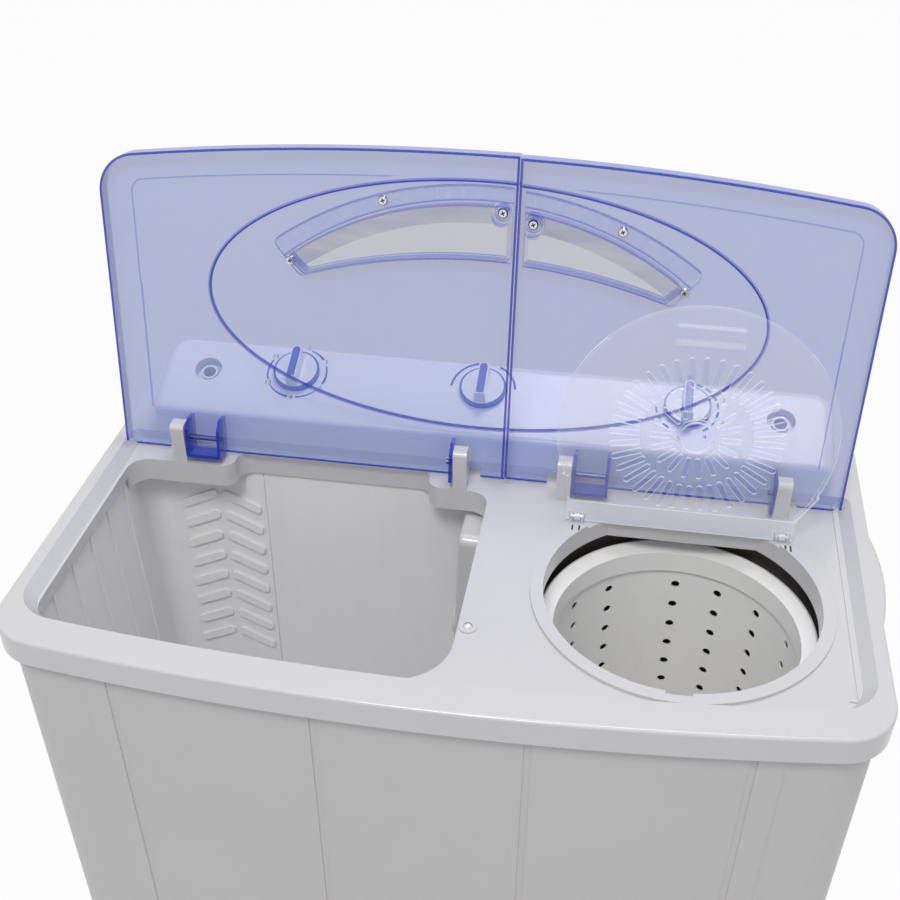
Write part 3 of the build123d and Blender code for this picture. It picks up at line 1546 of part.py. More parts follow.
def knob(x, name):
    """Round knob with a raised grip bar and a stem, and its coloured trim."""
    seat = console_plane.offset(knob_clearance)
    inlay = seat.offset(knob_height + grip_height - grip_inlay_depth)
    with BuildPart() as body:
        with BuildSketch(seat):
            with Locations((x, knob_up)):
                Circle(knob_radius - ring_trim)
        extrude(amount=knob_height)
        with BuildSketch(seat):
            add(grip_plan(x, 0))
        extrude(amount=knob_height + grip_height, taper=grip_taper)
        with BuildSketch(seat):
            with Locations((x, knob_up)):
                Circle(stem_radius)
        extrude(amount=-stem_length)
        with BuildSketch(inlay):
            add(grip_plan(x, grip_inlay_margin))
        extrude(amount=grip_inlay_depth, mode=Mode.SUBTRACT)
    finish(body.part, f"{name}_knob")
    with BuildPart() as trim:
        with BuildSketch(seat):
            with Locations((x, knob_up)):
                Circle(knob_radius)
                Circle(knob_radius - ring_trim, mode=Mode.SUBTRACT)
        extrude(amount=knob_height - ring_step)
        with BuildSketch(inlay):
            add(grip_plan(x, grip_inlay_margin))
        extrude(amount=grip_inlay_depth)
    finish(trim.part, f"{name}_trim")


def switch_body(x, name):
    """Timer or switch housing under the console, with the bore for its knob's stem."""
    back = console_plane.offset(-plastic_wall - touch_gap)
    with BuildPart() as housing:
        with BuildSketch(back):
            with Locations((x, knob_up)):
                RectangleRounded(timer_width, timer_length, timer_corner)
        extrude(amount=-timer_depth)
        with BuildSketch(back):
            with Locations((x, knob_up)):
                Circle(stem_radius + running_gap)
        extrude(amount=-stem_length, mode=Mode.SUBTRACT)
        with BuildSketch(back.offset(-timer_depth)):
            with Locations((x, knob_up)):
                Rectangle(terminal_width, terminal_length)
        extrude(amount=-terminal_depth)
    finish(housing.part, name)


knob_names = ("wash_timer", "wash_selector", "spin_timer")
housing_names = ("wash_timer_body", "selector_switch", "spin_timer_body")
for centre, name, housing_name in zip(knob_x, knob_names, housing_names):
    knob(centre, name)
    switch_body(centre, housing_name)

# Lid switch under the console's right end
with BuildPart() as lid_switch:
    with BuildSketch(Plane.XY.offset(rim_top)):
        with Locations((port_x - lid_switch_aside, console_lip_y + lid_switch_behind)):
            Rectangle(terminal_width, terminal_length)
    extrude(amount=lid_switch_height)
finish(lid_switch.part, "lid_switch")

# Steel pins of the outer lids and of the inner lid
with BuildPart() as lid_hinge_pins:
    for posts in (wash_posts, spin_posts):
        with BuildSketch(Plane.YZ.offset(posts[0] - post_width / 2)):
            with Locations((hinge_y, hinge_z)):
                Circle(hinge_pin_radius)
        extrude(amount=post_width + post_gap + ear_width)
        with BuildSketch(Plane.YZ.offset(posts[1] + post_width / 2)):
            with Locations((hinge_y, hinge_z)):
                Circle(hinge_pin_radius)
        extrude(amount=-post_width - post_gap - 2 * ear_web)
finish(lid_hinge_pins.part, "lid_hinge_pins")

with BuildPart() as inner_lid_pins:
    for x in lug_x:
        with BuildSketch(Plane.YZ.offset(x - lug_spacing / 2 - lug_thickness / 2)):
            with Locations((inner_hinge_y, inner_hinge_z)):
                Circle(inner_pin_radius)
        extrude(amount=lug_spacing + lug_thickness)
finish(inner_lid_pins.part, "inner_lid_pins")


def lid_plane_at(lean):
    """Plane of a lid's under face when it stands open at a lean."""
    tilt = radians(lean)
    return Plane(
        origin=(
            0, hinge_y + lid_standoff * cos(tilt) - lid_pivot_up * sin(tilt),
            hinge_z - lid_standoff * sin(tilt) - lid_pivot_up * cos(tilt),
        ),
        x_dir=(1, 0, 0),
        z_dir=(0, -cos(tilt), sin(tilt)),
    )


def lid_top_at(x):
    """Height of the lid's bowed front edge above its hinge edge."""
    return lid_length - x * x / (2 * lid_front_radius)


def lid_outline(left, right, outer_side, inset):
    """One outer lid on its own plane, drawn in evenly on three sides."""
    left_in = left + inset
    right_in = right - inset
    middle = (left_in + right_in) / 2
    left_top = lid_top_at(left_in) - inset
    right_top = lid_top_at(right_in) - inset
    with BuildSketch() as outline:
        with BuildLine():
            ThreePointArc((left_in, left_top), (middle, lid_top_at(middle) - inset), (right_in, right_top))
            Polyline((right_in, right_top), (right_in, 0), (left_in, 0), (left_in, left_top))
        make_face()
        corner_x = left_in if outer_side < 0 else right_in
        fillet(nearest_vertex(outline, corner_x, lid_length), lid_corner_radius - inset)
        if inset < lid_foot_radius:
            fillet(nearest_vertex(outline, corner_x, 0), lid_foot_radius - inset)
    return outline.sketch


def arc_band(half, top_drop, end_drop, low_half, low_drop, low_end_drop, radius, left, right):
    """Crescent between two arcs that follow the lids' bowed edge, cut to one lid's share."""
    top = lid_length - top_drop
    top_end = lid_length - end_drop
    low = lid_length - low_drop
    low_end = lid_length - low_end_drop
    with BuildSketch() as band:
        with BuildLine():
            ThreePointArc((handle_x - half, top_end), (handle_x, top), (handle_x + half, top_end))
            Line((handle_x + half, top_end), (handle_x + low_half, low_end))
            ThreePointArc(
                (handle_x + low_half, low_end), (handle_x, low), (handle_x - low_half, low_end)
            )
            Line((handle_x - low_half, low_end), (handle_x - half, top_end))
        make_face()
        fillet(band.vertices(), radius)
        with Locations(((left + right) / 2, low)):
            Rectangle(right - left, overrun, mode=Mode.INTERSECT)
    return band.sketch


def handle_band(left, right, inset):
    """Outline of the handle insert's flange."""
    with BuildSketch() as band:
        add(
            arc_band(
                handle_half, handle_top_drop, handle_end_drop, handle_low_half, handle_low_drop,
                handle_low_end_drop, handle_corner, left, right,
            )
        )
        if inset:
            offset(amount=-inset, kind=Kind.INTERSECTION)
    return band.sketch


def pocket_band(left, right, bosses, inset):
    """Outline of the finger pocket inside the flange, led around the screw bosses."""
    with BuildSketch() as band:
        add(
            arc_band(
                pocket_half, pocket_top_drop, pocket_end_drop, pocket_low_half, pocket_low_drop,
                pocket_low_end_drop, pocket_corner, left + handle_wall, right - handle_wall,
            )
        )
        if inset:
            offset(amount=-inset, kind=Kind.INTERSECTION)
        with Locations(*bosses):
            Circle(screw_boss_radius + handle_wall + inset, mode=Mode.SUBTRACT)
    return band.sketch


def outer_lid(left, right, outer_side, lean, posts, screw_drops, name):
    """Outer lid, its handle insert and its screws, standing open."""
    under = lid_plane_at(lean)
    outside = under.offset(-lid_thickness)
    clear = post_width / 2 + post_gap
    screws = [(x, lid_length - drop) for x, drop in screw_drops]
    bosses = screws[-1:] if outer_side < 0 else screws[:1]
    handle_left = left if outer_side < 0 else left + lid_thickness + handle_split_gap
    handle_right = right if outer_side > 0 else right - lid_thickness - handle_split_gap
    with BuildPart() as lid:
        with BuildSketch(under):
            add(lid_outline(left, right, outer_side, 0))
        extrude(amount=-lid_thickness)
        with BuildSketch(under):
            add(lid_outline(left, right, outer_side, 0))
            add(lid_outline(left, right, outer_side, lid_thickness), mode=Mode.SUBTRACT)
            with Locations((0, lid_foot_radius)):
                Rectangle(2 * overrun, overrun, align=(Align.CENTER, Align.MIN), mode=Mode.INTERSECT)
        extrude(amount=lid_skirt)
        with BuildSketch(under):
            with Locations((ridge_x, lid_length - ridge_below_edge)):
                Ellipse(ridge_half_width, ridge_half_height)
                Ellipse(ridge_half_width - ridge_width, ridge_half_height - ridge_width, mode=Mode.SUBTRACT)
            add(lid_outline(left, right, outer_side, lid_thickness), mode=Mode.INTERSECT)
            add(handle_band(handle_left, handle_right, -post_gap), mode=Mode.SUBTRACT)
        extrude(amount=ridge_height)
        with BuildSketch(under):
            add(lid_outline(left, right, outer_side, border_inset))
            add(lid_outline(left, right, outer_side, border_inset + border_width), mode=Mode.SUBTRACT)
            with Locations((0, lid_length - ridge_below_edge)):
                Rectangle(2 * overrun, overrun, align=(Align.CENTER, Align.MIN), mode=Mode.INTERSECT)
            with Locations((ridge_x, lid_length - ridge_below_edge)):
                Ellipse(ridge_half_width + border_gap, ridge_half_height + border_gap, mode=Mode.SUBTRACT)
            with Locations(((left if outer_side > 0 else right), lid_length)):
                Rectangle(2 * border_inset + 2 * border_gap, overrun, mode=Mode.SUBTRACT)
        extrude(amount=border_height)
        with BuildSketch(under):
            add(pocket_band(handle_left, handle_right, bosses, -touch_gap))
        extrude(amount=-lid_thickness, mode=Mode.SUBTRACT)
        with BuildSketch(outside):
            for post_x in posts:
                with Locations((post_x, 0)):
                    Rectangle(2 * clear, 2 * notch_up)
            step_post = posts[1] if outer_side < 0 else posts[0]
            with Locations((step_post - outer_side * (clear + step_width / 2), 0)):
                Rectangle(step_width, 2 * step_up)
            slant_post = posts[0] if outer_side < 0 else posts[1]
            edge_x = slant_post + outer_side * clear
            with BuildLine():
                Polyline(
                    (edge_x, 0), (edge_x + outer_side * step_width, 0), (edge_x, step_width), close=True
                )
            make_face()
        extrude(amount=lid_thickness, mode=Mode.SUBTRACT)
        web_starts = (
            posts[0] + clear, posts[0] + clear + ear_width - ear_web, posts[1] - clear - ear_web
        )
        for web_x in web_starts:
            web_plane = Plane(
                origin=(web_x, under.origin.Y, under.origin.Z), x_dir=under.z_dir, z_dir=(-1, 0, 0)
            )
            with BuildSketch(web_plane):
                with BuildLine():
                    Polyline(
                        (-lid_thickness / 2, ear_start), (ear_depth, ear_start),
                        (ear_depth, ear_height - ear_round), (ear_depth - ear_round, ear_height),
                        (-lid_thickness / 2, ear_height), close=True,
                    )
                make_face()
            extrude(amount=-ear_web)
        with BuildSketch(under):
            with Locations((posts[0] + clear + ear_width / 2, ear_start + ear_web / 2)):
                Rectangle(ear_width, ear_web)
        extrude(amount=ear_depth)
        with BuildSketch(Plane.YZ.offset(posts[0])):
            with Locations((hinge_y, hinge_z)):
                Circle(hinge_pin_radius + running_gap)
        extrude(amount=posts[1] - posts[0], mode=Mode.SUBTRACT)
        with BuildSketch(under):
            with Locations(*screws):
                Circle(screw_shank)
        extrude(amount=-lid_thickness, mode=Mode.SUBTRACT)
    finish(lid.part, name)

    with BuildPart() as insert:
        with BuildSketch(under):
            add(handle_band(handle_left, handle_right, 0))
        extrude(amount=handle_wall)
        with BuildSketch(outside):
            add(pocket_band(handle_left, handle_right, bosses, 0))
        extrude(amount=lid_thickness + pocket_depth)
        with BuildSketch(outside):
            add(pocket_band(handle_left, handle_right, bosses, handle_wall))
        extrude(amount=lid_thickness + pocket_depth - handle_wall, mode=Mode.SUBTRACT)
        with BuildSketch(under):
            with Locations(*bosses):
                Circle(screw_boss_radius)
        extrude(amount=handle_wall + screw_boss_height)
        with BuildSketch(under.offset(handle_wall)):
            with Locations(*bosses):
                Circle(screw_head_radius + touch_gap)
        extrude(amount=screw_boss_height, mode=Mode.SUBTRACT)
        with BuildSketch(under):
            with Locations(*screws):
                Circle(screw_shank)
        extrude(amount=handle_wall, mode=Mode.SUBTRACT)
    finish(insert.part, f"{name}_handle")

    with BuildPart() as fasteners:
        with BuildSketch(outside):
            with Locations(*screws):
                Circle(screw_shank)
        extrude(amount=lid_thickness + handle_wall)
        with BuildSketch(under.offset(handle_wall)):
            with Locations(*screws):
                Circle(screw_head_radius)
        extrude(amount=screw_head_height, taper=screw_taper)
    finish(fasteners.part, f"{name}_screws")


split_left = lid_split - lid_split_gap / 2
split_right = lid_split + lid_split_gap / 2
outer_lid(lid_left, split_left, -1, wash_lid_lean, wash_posts, wash_screws, "wash_lid")
outer_lid(split_right, lid_right, 1, spin_lid_lean, spin_posts, spin_screws, "spin_lid")


def lid_disc(inset):
    """Outline of the inner lid: a disc with straight shoulders down to its hinge strip."""
    with BuildSketch() as outline:
        with Locations((spin_x, inner_centre_up)):
            Circle(inner_radius)
        with Locations((spin_x, inner_band_up)):
            Rectangle(overrun, overrun, align=(Align.CENTER, Align.MAX), mode=Mode.SUBTRACT)
        with BuildLine():
            Polyline(
                (inner_left, inner_edge_low), (inner_right, inner_edge_low), (inner_right, inner_band_up),
                (spin_x + inner_radius - inner_shoulder_in, inner_shoulder_up),
                (spin_x - inner_radius + inner_shoulder_in, inner_shoulder_up),
                (inner_left, inner_band_up), close=True,
            )
        make_face()
        if inset:
            offset(amount=-inset, kind=Kind.INTERSECTION)
    return outline.sketch


def lug_slots():
    """Slots that clear the deck's lugs in the inner lid's hinge edge."""
    with BuildSketch() as slots:
        for x in lug_x:
            with Locations((x, 0)):
                Rectangle(lug_spacing + lug_thickness + 2 * post_gap, 2 * (lug_radius + post_gap))
    return slots.sketch


# Clear inner spin lid with drain slots, a sunk pull, a raised hinge band and hinge tongues
with BuildPart() as inner_lid:
    back = inner_plane.offset(-inner_thickness)
    with BuildSketch(back):
        add(lid_disc(0))
        add(lug_slots(), mode=Mode.SUBTRACT)
        with Locations((spin_x, inner_centre_up)):
            Circle(inner_centre_hole, mode=Mode.SUBTRACT)
            with PolarLocations((inner_slot_start + inner_slot_end) / 2, inner_slot_count):
                SlotOverall(inner_slot_end - inner_slot_start, inner_slot_width, mode=Mode.SUBTRACT)
    extrude(amount=inner_thickness)
    with BuildSketch(back):
        with Locations((spin_x, inner_centre_up)):
            with PolarLocations((outer_slot_start + outer_slot_end) / 2, outer_slot_count):
                SlotOverall(outer_slot_end - outer_slot_start, outer_slot_width)
        with Locations((spin_x, slot_floor_up)):
            Rectangle(overrun, overrun, align=(Align.CENTER, Align.MIN), mode=Mode.INTERSECT)
    extrude(amount=inner_thickness, mode=Mode.SUBTRACT)
    with BuildSketch(back):
        add(lid_disc(0))
        add(lid_disc(inner_bead_width), mode=Mode.SUBTRACT)
        with Locations((spin_x, inner_band_up)):
            Rectangle(overrun, overrun, align=(Align.CENTER, Align.MIN), mode=Mode.INTERSECT)
        with Locations((spin_x, inner_centre_up)):
            Circle(inner_centre_hole + inner_bead_width)
            Circle(inner_centre_hole, mode=Mode.SUBTRACT)
    extrude(amount=-inner_bead_height)
    with BuildSketch(inner_plane):
        with Locations((spin_x, inner_edge_low)):
            Rectangle(
                inner_left_reach + inner_right_reach, inner_band_up - inner_edge_low,
                align=(Align.CENTER, Align.MIN),
            )
        add(lid_disc(0), mode=Mode.INTERSECT)
        add(lug_slots(), mode=Mode.SUBTRACT)
    extrude(amount=inner_band_height)
    with BuildSketch(back):
        with Locations((spin_x, pull_up)):
            RectangleRounded(pull_width, pull_height, pull_corner)
    extrude(amount=inner_thickness + pull_depth)
    with BuildSketch(back):
        with Locations((spin_x, pull_up)):
            RectangleRounded(
                pull_width - 2 * pull_wall, pull_height - 2 * pull_wall, pull_corner - pull_wall
            )
    extrude(amount=inner_thickness + pull_depth - pull_wall, mode=Mode.SUBTRACT)
    for x in lug_x:
        with BuildSketch(Plane.YZ.offset(x - tongue_width / 2)):
            with Locations((inner_hinge_y, inner_hinge_z)):
                Circle(lug_radius - touch_gap)
        extrude(amount=tongue_width)
        with BuildSketch(back):
            with Locations((x, 0)):
                Rectangle(tongue_width, lug_radius + 2 * post_gap, align=(Align.CENTER, Align.MIN))
        extrude(amount=inner_thickness)
        with BuildSketch(Plane.YZ.offset(x)):
            with Locations((inner_hinge_y, inner_hinge_z)):
                Circle(inner_pin_radius + running_gap)
        extrude(amount=tongue_width, both=True, mode=Mode.SUBTRACT)
finish(inner_lid.part, "inner_lid")
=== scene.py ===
# A twin tub washing machine with its tinted lids and its clear spin cover standing open.
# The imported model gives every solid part. This script gives each its finish, prints the
# dials, and sets up the camera and the light. Lengths are in metres.
from math import atan2, copysign, cos, pi, radians, sin

import bmesh
import bpy
from mathutils import Matrix, Vector


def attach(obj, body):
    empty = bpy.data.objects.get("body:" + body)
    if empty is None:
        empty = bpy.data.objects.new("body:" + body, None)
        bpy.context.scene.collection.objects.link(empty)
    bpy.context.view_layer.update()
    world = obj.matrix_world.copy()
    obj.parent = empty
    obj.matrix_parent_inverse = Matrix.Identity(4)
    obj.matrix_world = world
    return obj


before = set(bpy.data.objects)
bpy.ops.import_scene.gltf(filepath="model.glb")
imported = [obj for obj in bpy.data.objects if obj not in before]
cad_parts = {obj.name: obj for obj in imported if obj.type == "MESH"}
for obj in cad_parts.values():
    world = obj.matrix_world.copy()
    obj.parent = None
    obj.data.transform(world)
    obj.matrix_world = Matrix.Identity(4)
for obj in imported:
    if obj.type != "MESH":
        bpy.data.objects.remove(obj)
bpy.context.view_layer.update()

# Camera: a little above head height in front of the left lid, looking down into both tubs.
# Its place, angles (in radians) and lens were fitted to the photograph.
camera_place = Vector((0.1332, -0.8644, 1.5015))
camera_yaw = -0.138
camera_pitch = 0.668
camera_roll = -0.018
ahead = Vector((
    sin(camera_yaw) * cos(camera_pitch),
    cos(camera_yaw) * cos(camera_pitch),
    -sin(camera_pitch),
))
level_right = Vector((cos(camera_yaw), -sin(camera_yaw), 0))
level_down = ahead.cross(level_right)
right = cos(camera_roll) * level_right + sin(camera_roll) * level_down
down = -sin(camera_roll) * level_right + cos(camera_roll) * level_down
turned = Matrix((right, -down, -ahead)).transposed().to_4x4()
lens = bpy.data.cameras.new("camera")
lens.sensor_width = 36
lens.lens = 48.39
lens.shift_x = -0.0272
lens.shift_y = 0.0959
lens.clip_start = 0.02
camera = bpy.data.objects.new("camera", lens)
camera.matrix_world = Matrix.Translation(camera_place) @ turned
bpy.context.collection.objects.link(camera)
bpy.context.scene.camera = camera
bpy.context.scene.view_settings.view_transform = "Standard"


# Studio: a soft lamp overhead, which also reaches the console behind the lids, the main
# lamp above the front, which reaches into both tubs, and a weak one from the right.
def soft_lamp(name, place, target, size, power):
    light = bpy.data.lights.new(name, "AREA")
    light.shape = "DISK"
    light.size = size
    light.energy = power
    lamp = bpy.data.objects.new(name, light)
    aim = (Vector(target) - Vector(place)).to_track_quat("-Z", "Y")
    lamp.matrix_world = Matrix.Translation(place) @ aim.to_matrix().to_4x4()
    bpy.context.collection.objects.link(lamp)


soft_lamp("top_lamp", (0.3, 0.5, 2.9), (0, 0, 0.8), 1.0, 16)
soft_lamp("key_lamp", (-0.2, -1.5, 3.1), (0, 0, 0.7), 0.8, 32)
soft_lamp("fill_lamp", (1.9, -2.2, 1.9), (0, 0, 0.7), 1.6, 2)


class Shade:
    """A shader value. Arithmetic on it adds the nodes that work it out."""

    def __init__(self, tree, socket=None):
        self.tree = tree
        self.socket = socket

    def use(self, kind, settings=None, output=0, **inputs):
        """Adds a node. A number after an underscore is an input's place in its list."""
        node = self.tree.nodes.new(kind)
        for key, value in (settings or {}).items():
            setattr(node, key, value)
        for key, value in inputs.items():
            place = int(key[1:]) if key[1:].isdigit() else key.replace("_", " ")
            if isinstance(value, Shade):
                self.tree.links.new(value.socket, node.inputs[place])
            else:
                node.inputs[place].default_value = value
        return Shade(self.tree, node.outputs[output] if len(node.outputs) else None)

    def other(self, output):
        """Another output of the node that this value comes from."""
        return Shade(self.tree, self.socket.node.outputs[output])

    def maths(self, operation, first, second=0.0):
        return self.use("ShaderNodeMath", {"operation": operation}, _0=first, _1=second)

    def __add__(self, other):
        return self.maths("ADD", self, other)

    def __sub__(self, other):
        return self.maths("SUBTRACT", self, other)

    def __rsub__(self, other):
        return self.maths("SUBTRACT", other, self)

    def __mul__(self, other):
        return self.maths("MULTIPLY", self, other)

    def __gt__(self, other):
        return self.maths("GREATER_THAN", self, other)

    def __lt__(self, other):
        return self.maths("LESS_THAN", self, other)

    def __truediv__(self, other):
        return self.maths("DIVIDE", self, other)

    __radd__ = __add__
    __rmul__ = __mul__

    def most(self, *others):
        """The largest of this value and others."""
        largest = self
        for value in others:
            largest = self.maths("MAXIMUM", largest, value)
        return largest

    def blend(self, first, second):
        """Colour that goes from first to second as this value goes from 0 to 1."""
        return self.use(
            "ShaderNodeMix", {"data_type": "RGBA"}, 2, _0=self, _6=first, _7=second
        )


def looked_at(start):
    """Two values of a ray: 1 where it makes a picture and not light, by the camera, a mirror
    or a glass, and 1 where it has come through something clear."""
    camera_ray = start.use("ShaderNodeLightPath")
    seen = camera_ray.most(
        camera_ray.other("Is Glossy Ray"), camera_ray.other("Is Transmission Ray")
    )
    return seen, camera_ray.other("Transparent Depth") > 0.5


# World: an even pale light. It is seen as white, and dimmer through the clear lids, as the
# photograph shows its backdrop there.
sky_light = 0.46
sky_seen = 0.54
sky_dimmed = 0.36
world = bpy.data.worlds.new("studio")
world.use_nodes = True
world.node_tree.nodes.clear()
sky = Shade(world.node_tree)
seen, behind = looked_at(sky)
glow = sky.use(
    "ShaderNodeBackground", Color=(1, 1, 1, 1),
    Strength=seen * (sky_seen - behind * sky_dimmed) + sky_light,
)
sky.use("ShaderNodeOutputWorld", Surface=glow)
bpy.context.scene.world = world

# Floor: a plain sheet, almost white where it is seen, with a trace of the machine's shadow.
floor_half = 12
sheet_seen = 0.94
sheet_dimmed = 0.42
floor_shape = bmesh.new()
bmesh.ops.create_grid(floor_shape, x_segments=1, y_segments=1, size=floor_half)
floor_mesh = bpy.data.meshes.new("floor")
floor_shape.to_mesh(floor_mesh)
floor_shape.free()
floor = bpy.data.objects.new("floor", floor_mesh)
bpy.context.collection.objects.link(floor)
floor_paint = bpy.data.materials.new("floor_sheet")
floor_paint.use_nodes = True
floor_paint.node_tree.nodes.clear()
sheet = Shade(floor_paint.node_tree)
seen, behind = looked_at(sheet)
matt = sheet.use("ShaderNodeBsdfDiffuse", Color=(0.9, 0.9, 0.9, 1))
bright = sheet.use(
    "ShaderNodeEmission", Color=(1, 1, 1, 1), Strength=1.0 - behind * sheet_dimmed
)
mixed = sheet.use("ShaderNodeMixShader", None, 0, _0=seen * sheet_seen, _1=matt, _2=bright)
sheet.use("ShaderNodeOutputMaterial", Surface=mixed)
floor_mesh.materials.append(floor_paint)


# Deck: one glossy white moulding over the cabinet's rim, with a faint orange peel and
# slightly duller patches where hands and cloths have rubbed it. The filter cover in the
# wash tub is the same plastic.
def finish_of(name):
    """A new material: its starting value, its principled node and where its pattern sits."""
    paint = bpy.data.materials.new(name)
    paint.use_nodes = True
    paint.node_tree.nodes.clear()
    start = Shade(paint.node_tree)
    surface = start.use("ShaderNodeBsdfPrincipled")
    start.use("ShaderNodeOutputMaterial", Surface=surface)
    place = start.use("ShaderNodeTexCoord", None, "Object")
    return paint, start, surface.socket.node, place


def feed(node, **values):
    """Sets or links the named sockets of a shader node."""
    for key, value in values.items():
        socket = node.inputs[key.replace("_", " ")]
        if isinstance(value, Shade):
            value.tree.links.new(value.socket, socket)
        else:
            socket.default_value = value


def noise(start, place, scale, detail=3.0, rough=0.55, distortion=0.0):
    return start.use(
        "ShaderNodeTexNoise", None, 0, Vector=place, Scale=scale, Detail=detail,
        Roughness=rough, Distortion=distortion,
    )


def bump(start, strength, distance, height):
    return start.use(
        "ShaderNodeBump", None, 0, Strength=strength, Distance=distance, Height=height
    )


def moulded(name, pale, dark, gloss, peel, peel_scale, coat=0.0):
    """Moulded plastic: two close tones, uneven gloss and a fine surface grain."""
    paint, start, surface, place = finish_of(name)
    cloud = noise(start, place, 7.0)
    grain = noise(start, place, peel_scale, 2.0)
    rub = noise(start, place, 26.0, 4.0, 0.6, 0.6)
    feed(
        surface, Base_Color=cloud.blend((*dark, 1), (*pale, 1)),
        Roughness=rub * 0.16 + (gloss - 0.08), IOR=1.48,
        Coat_Weight=coat, Coat_Roughness=0.06, Normal=bump(start, 0.35, peel, grain),
    )
    return paint


def dress(paint, *nodes):
    """Gives CAD nodes their finish."""
    for name in nodes:
        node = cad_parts[name]
        node.data.materials.clear()
        node.data.materials.append(paint)


# Painted shade: the deck's white is set darker than the console's, as the main lamp falls
# hard on it.
white_plastic = moulded(
    "white_plastic", (0.62, 0.616, 0.635), (0.59, 0.586, 0.605), 0.24, 0.0002, 420, 0.25
)
dress(white_plastic, "top_deck", "filter_cover")

# Console: the same plastic as the deck, behind the lids, with the printed dials on its
# sloping face. Its tone is set lighter than the deck's, painted light that makes up for
# the shade the lids cast on it. A water nozzle stands in the port at each end.
lit_console_plastic = moulded(
    "lit_console_plastic", (0.80, 0.79, 0.80), (0.77, 0.76, 0.77), 0.24, 0.0002, 420, 0.25
)
dress(lit_console_plastic, "console_panel", "wash_inlet_nozzle", "spin_inlet_nozzle")

# Cabinet and base tray: satin grey-white mouldings with a slightly coarser grain than the
# deck. The tray closes the shell from below.
cabinet_plastic = moulded(
    "cabinet_plastic", (0.58, 0.57, 0.575), (0.55, 0.54, 0.545), 0.4, 0.0003, 260
)
dress(cabinet_plastic, "cabinet_shell", "base_tray")

# Wash tub, with its filter, pulsator and drain: grey polypropylene, duller than the deck,
# with the faint flow marks of a deep moulding running down the walls. Its tone is set
# lighter than the deck's white, painted light that makes up for the shade inside the tub.
lit_tub_plastic, tub, tub_surface, tub_place = finish_of("lit_tub_plastic")
flow_stretch = (9, 9, 1.1)
flow = tub.use("ShaderNodeMapping", None, 0, Vector=tub_place, Scale=flow_stretch)
flow_mark = noise(tub, flow, 5.0, 4.0)
speck = noise(tub, tub_place, 520, 2.0)
feed(
    tub_surface,
    Base_Color=flow_mark.blend((0.80, 0.795, 0.80, 1), (0.86, 0.855, 0.855, 1)),
    Roughness=flow_mark * 0.2 + 0.3, Normal=bump(tub, 0.3, 0.0003, speck),
)
dress(lit_tub_plastic, "wash_tub", "lint_filter", "pulsator", "drain_valve_body", "drain_outlet")

# Outer spin tub: a plain deep moulding under the deck. Only a dark gap round the basket
# shows it, and its dark grey is painted shade for that gap.
gap_shade_grey = moulded(
    "gap_shade_grey", (0.15, 0.138, 0.125), (0.11, 0.10, 0.09), 0.5, 0.0004, 300
)
dress(gap_shade_grey, "spin_outer_tub")

# Spin basket and the balance ring on its rim: plastic lightly polished by wet laundry,
# set paler still than the tub, painted light that makes up for the shade inside the
# basket. They turn together on the spin shaft.
basket_plastic = moulded(
    "basket_plastic", (0.90, 0.895, 0.885), (0.87, 0.865, 0.855), 0.36, 0.0003, 300
)
dress(basket_plastic, "spin_basket", "balance_ring")

# Tinted lids: clear lilac blue plastic, one moulding each with a shallow skirt, hung on
# pins between the deck's posts. The tint is thin through a face. Rims, cut edges, hinge
# ears and ridges gather it and show deep blue. A deeper blue band across each lid's foot,
# as high as its ears, is painted shade for the shaded console front seen through it.
film_blue = (0.27, 0.42, 1.0, 1)
wall_blue = (0.13, 0.21, 0.78, 1)
deep_blue = (0.012, 0.035, 0.46, 1)

# How each lid stands: its foot's y and z, and its lean back in degrees.
wash_stance = (0.106507, 0.803963, 9.5)
spin_stance = (0.107004, 0.804207, 8.2)


def lid_place(start, place, foot_y, foot_z, lean):
    """Where a point lies on a standing lid: across it, up it and ahead of its inner face."""
    tilt = radians(lean)
    across = start.use("ShaderNodeSeparateXYZ", None, "X", Vector=place)
    behind_foot = across.other("Y") - foot_y
    above_foot = across.other("Z") - foot_z
    return (
        across, behind_foot * sin(tilt) + above_foot * cos(tilt),
        above_foot * sin(tilt) - behind_foot * cos(tilt),
    )


def face_on(start, lean):
    """1 on the faces that lie in a standing panel's plane, 0 on its walls and cut edges."""
    facing = (0, -cos(radians(lean)), sin(radians(lean)))
    turn = start.use("ShaderNodeTexCoord", None, "Normal")
    along = start.use(
        "ShaderNodeVectorMath", {"operation": "DOT_PRODUCT"}, "Value", _0=turn, _1=facing
    )
    return start.maths("ABSOLUTE", along) > 0.7


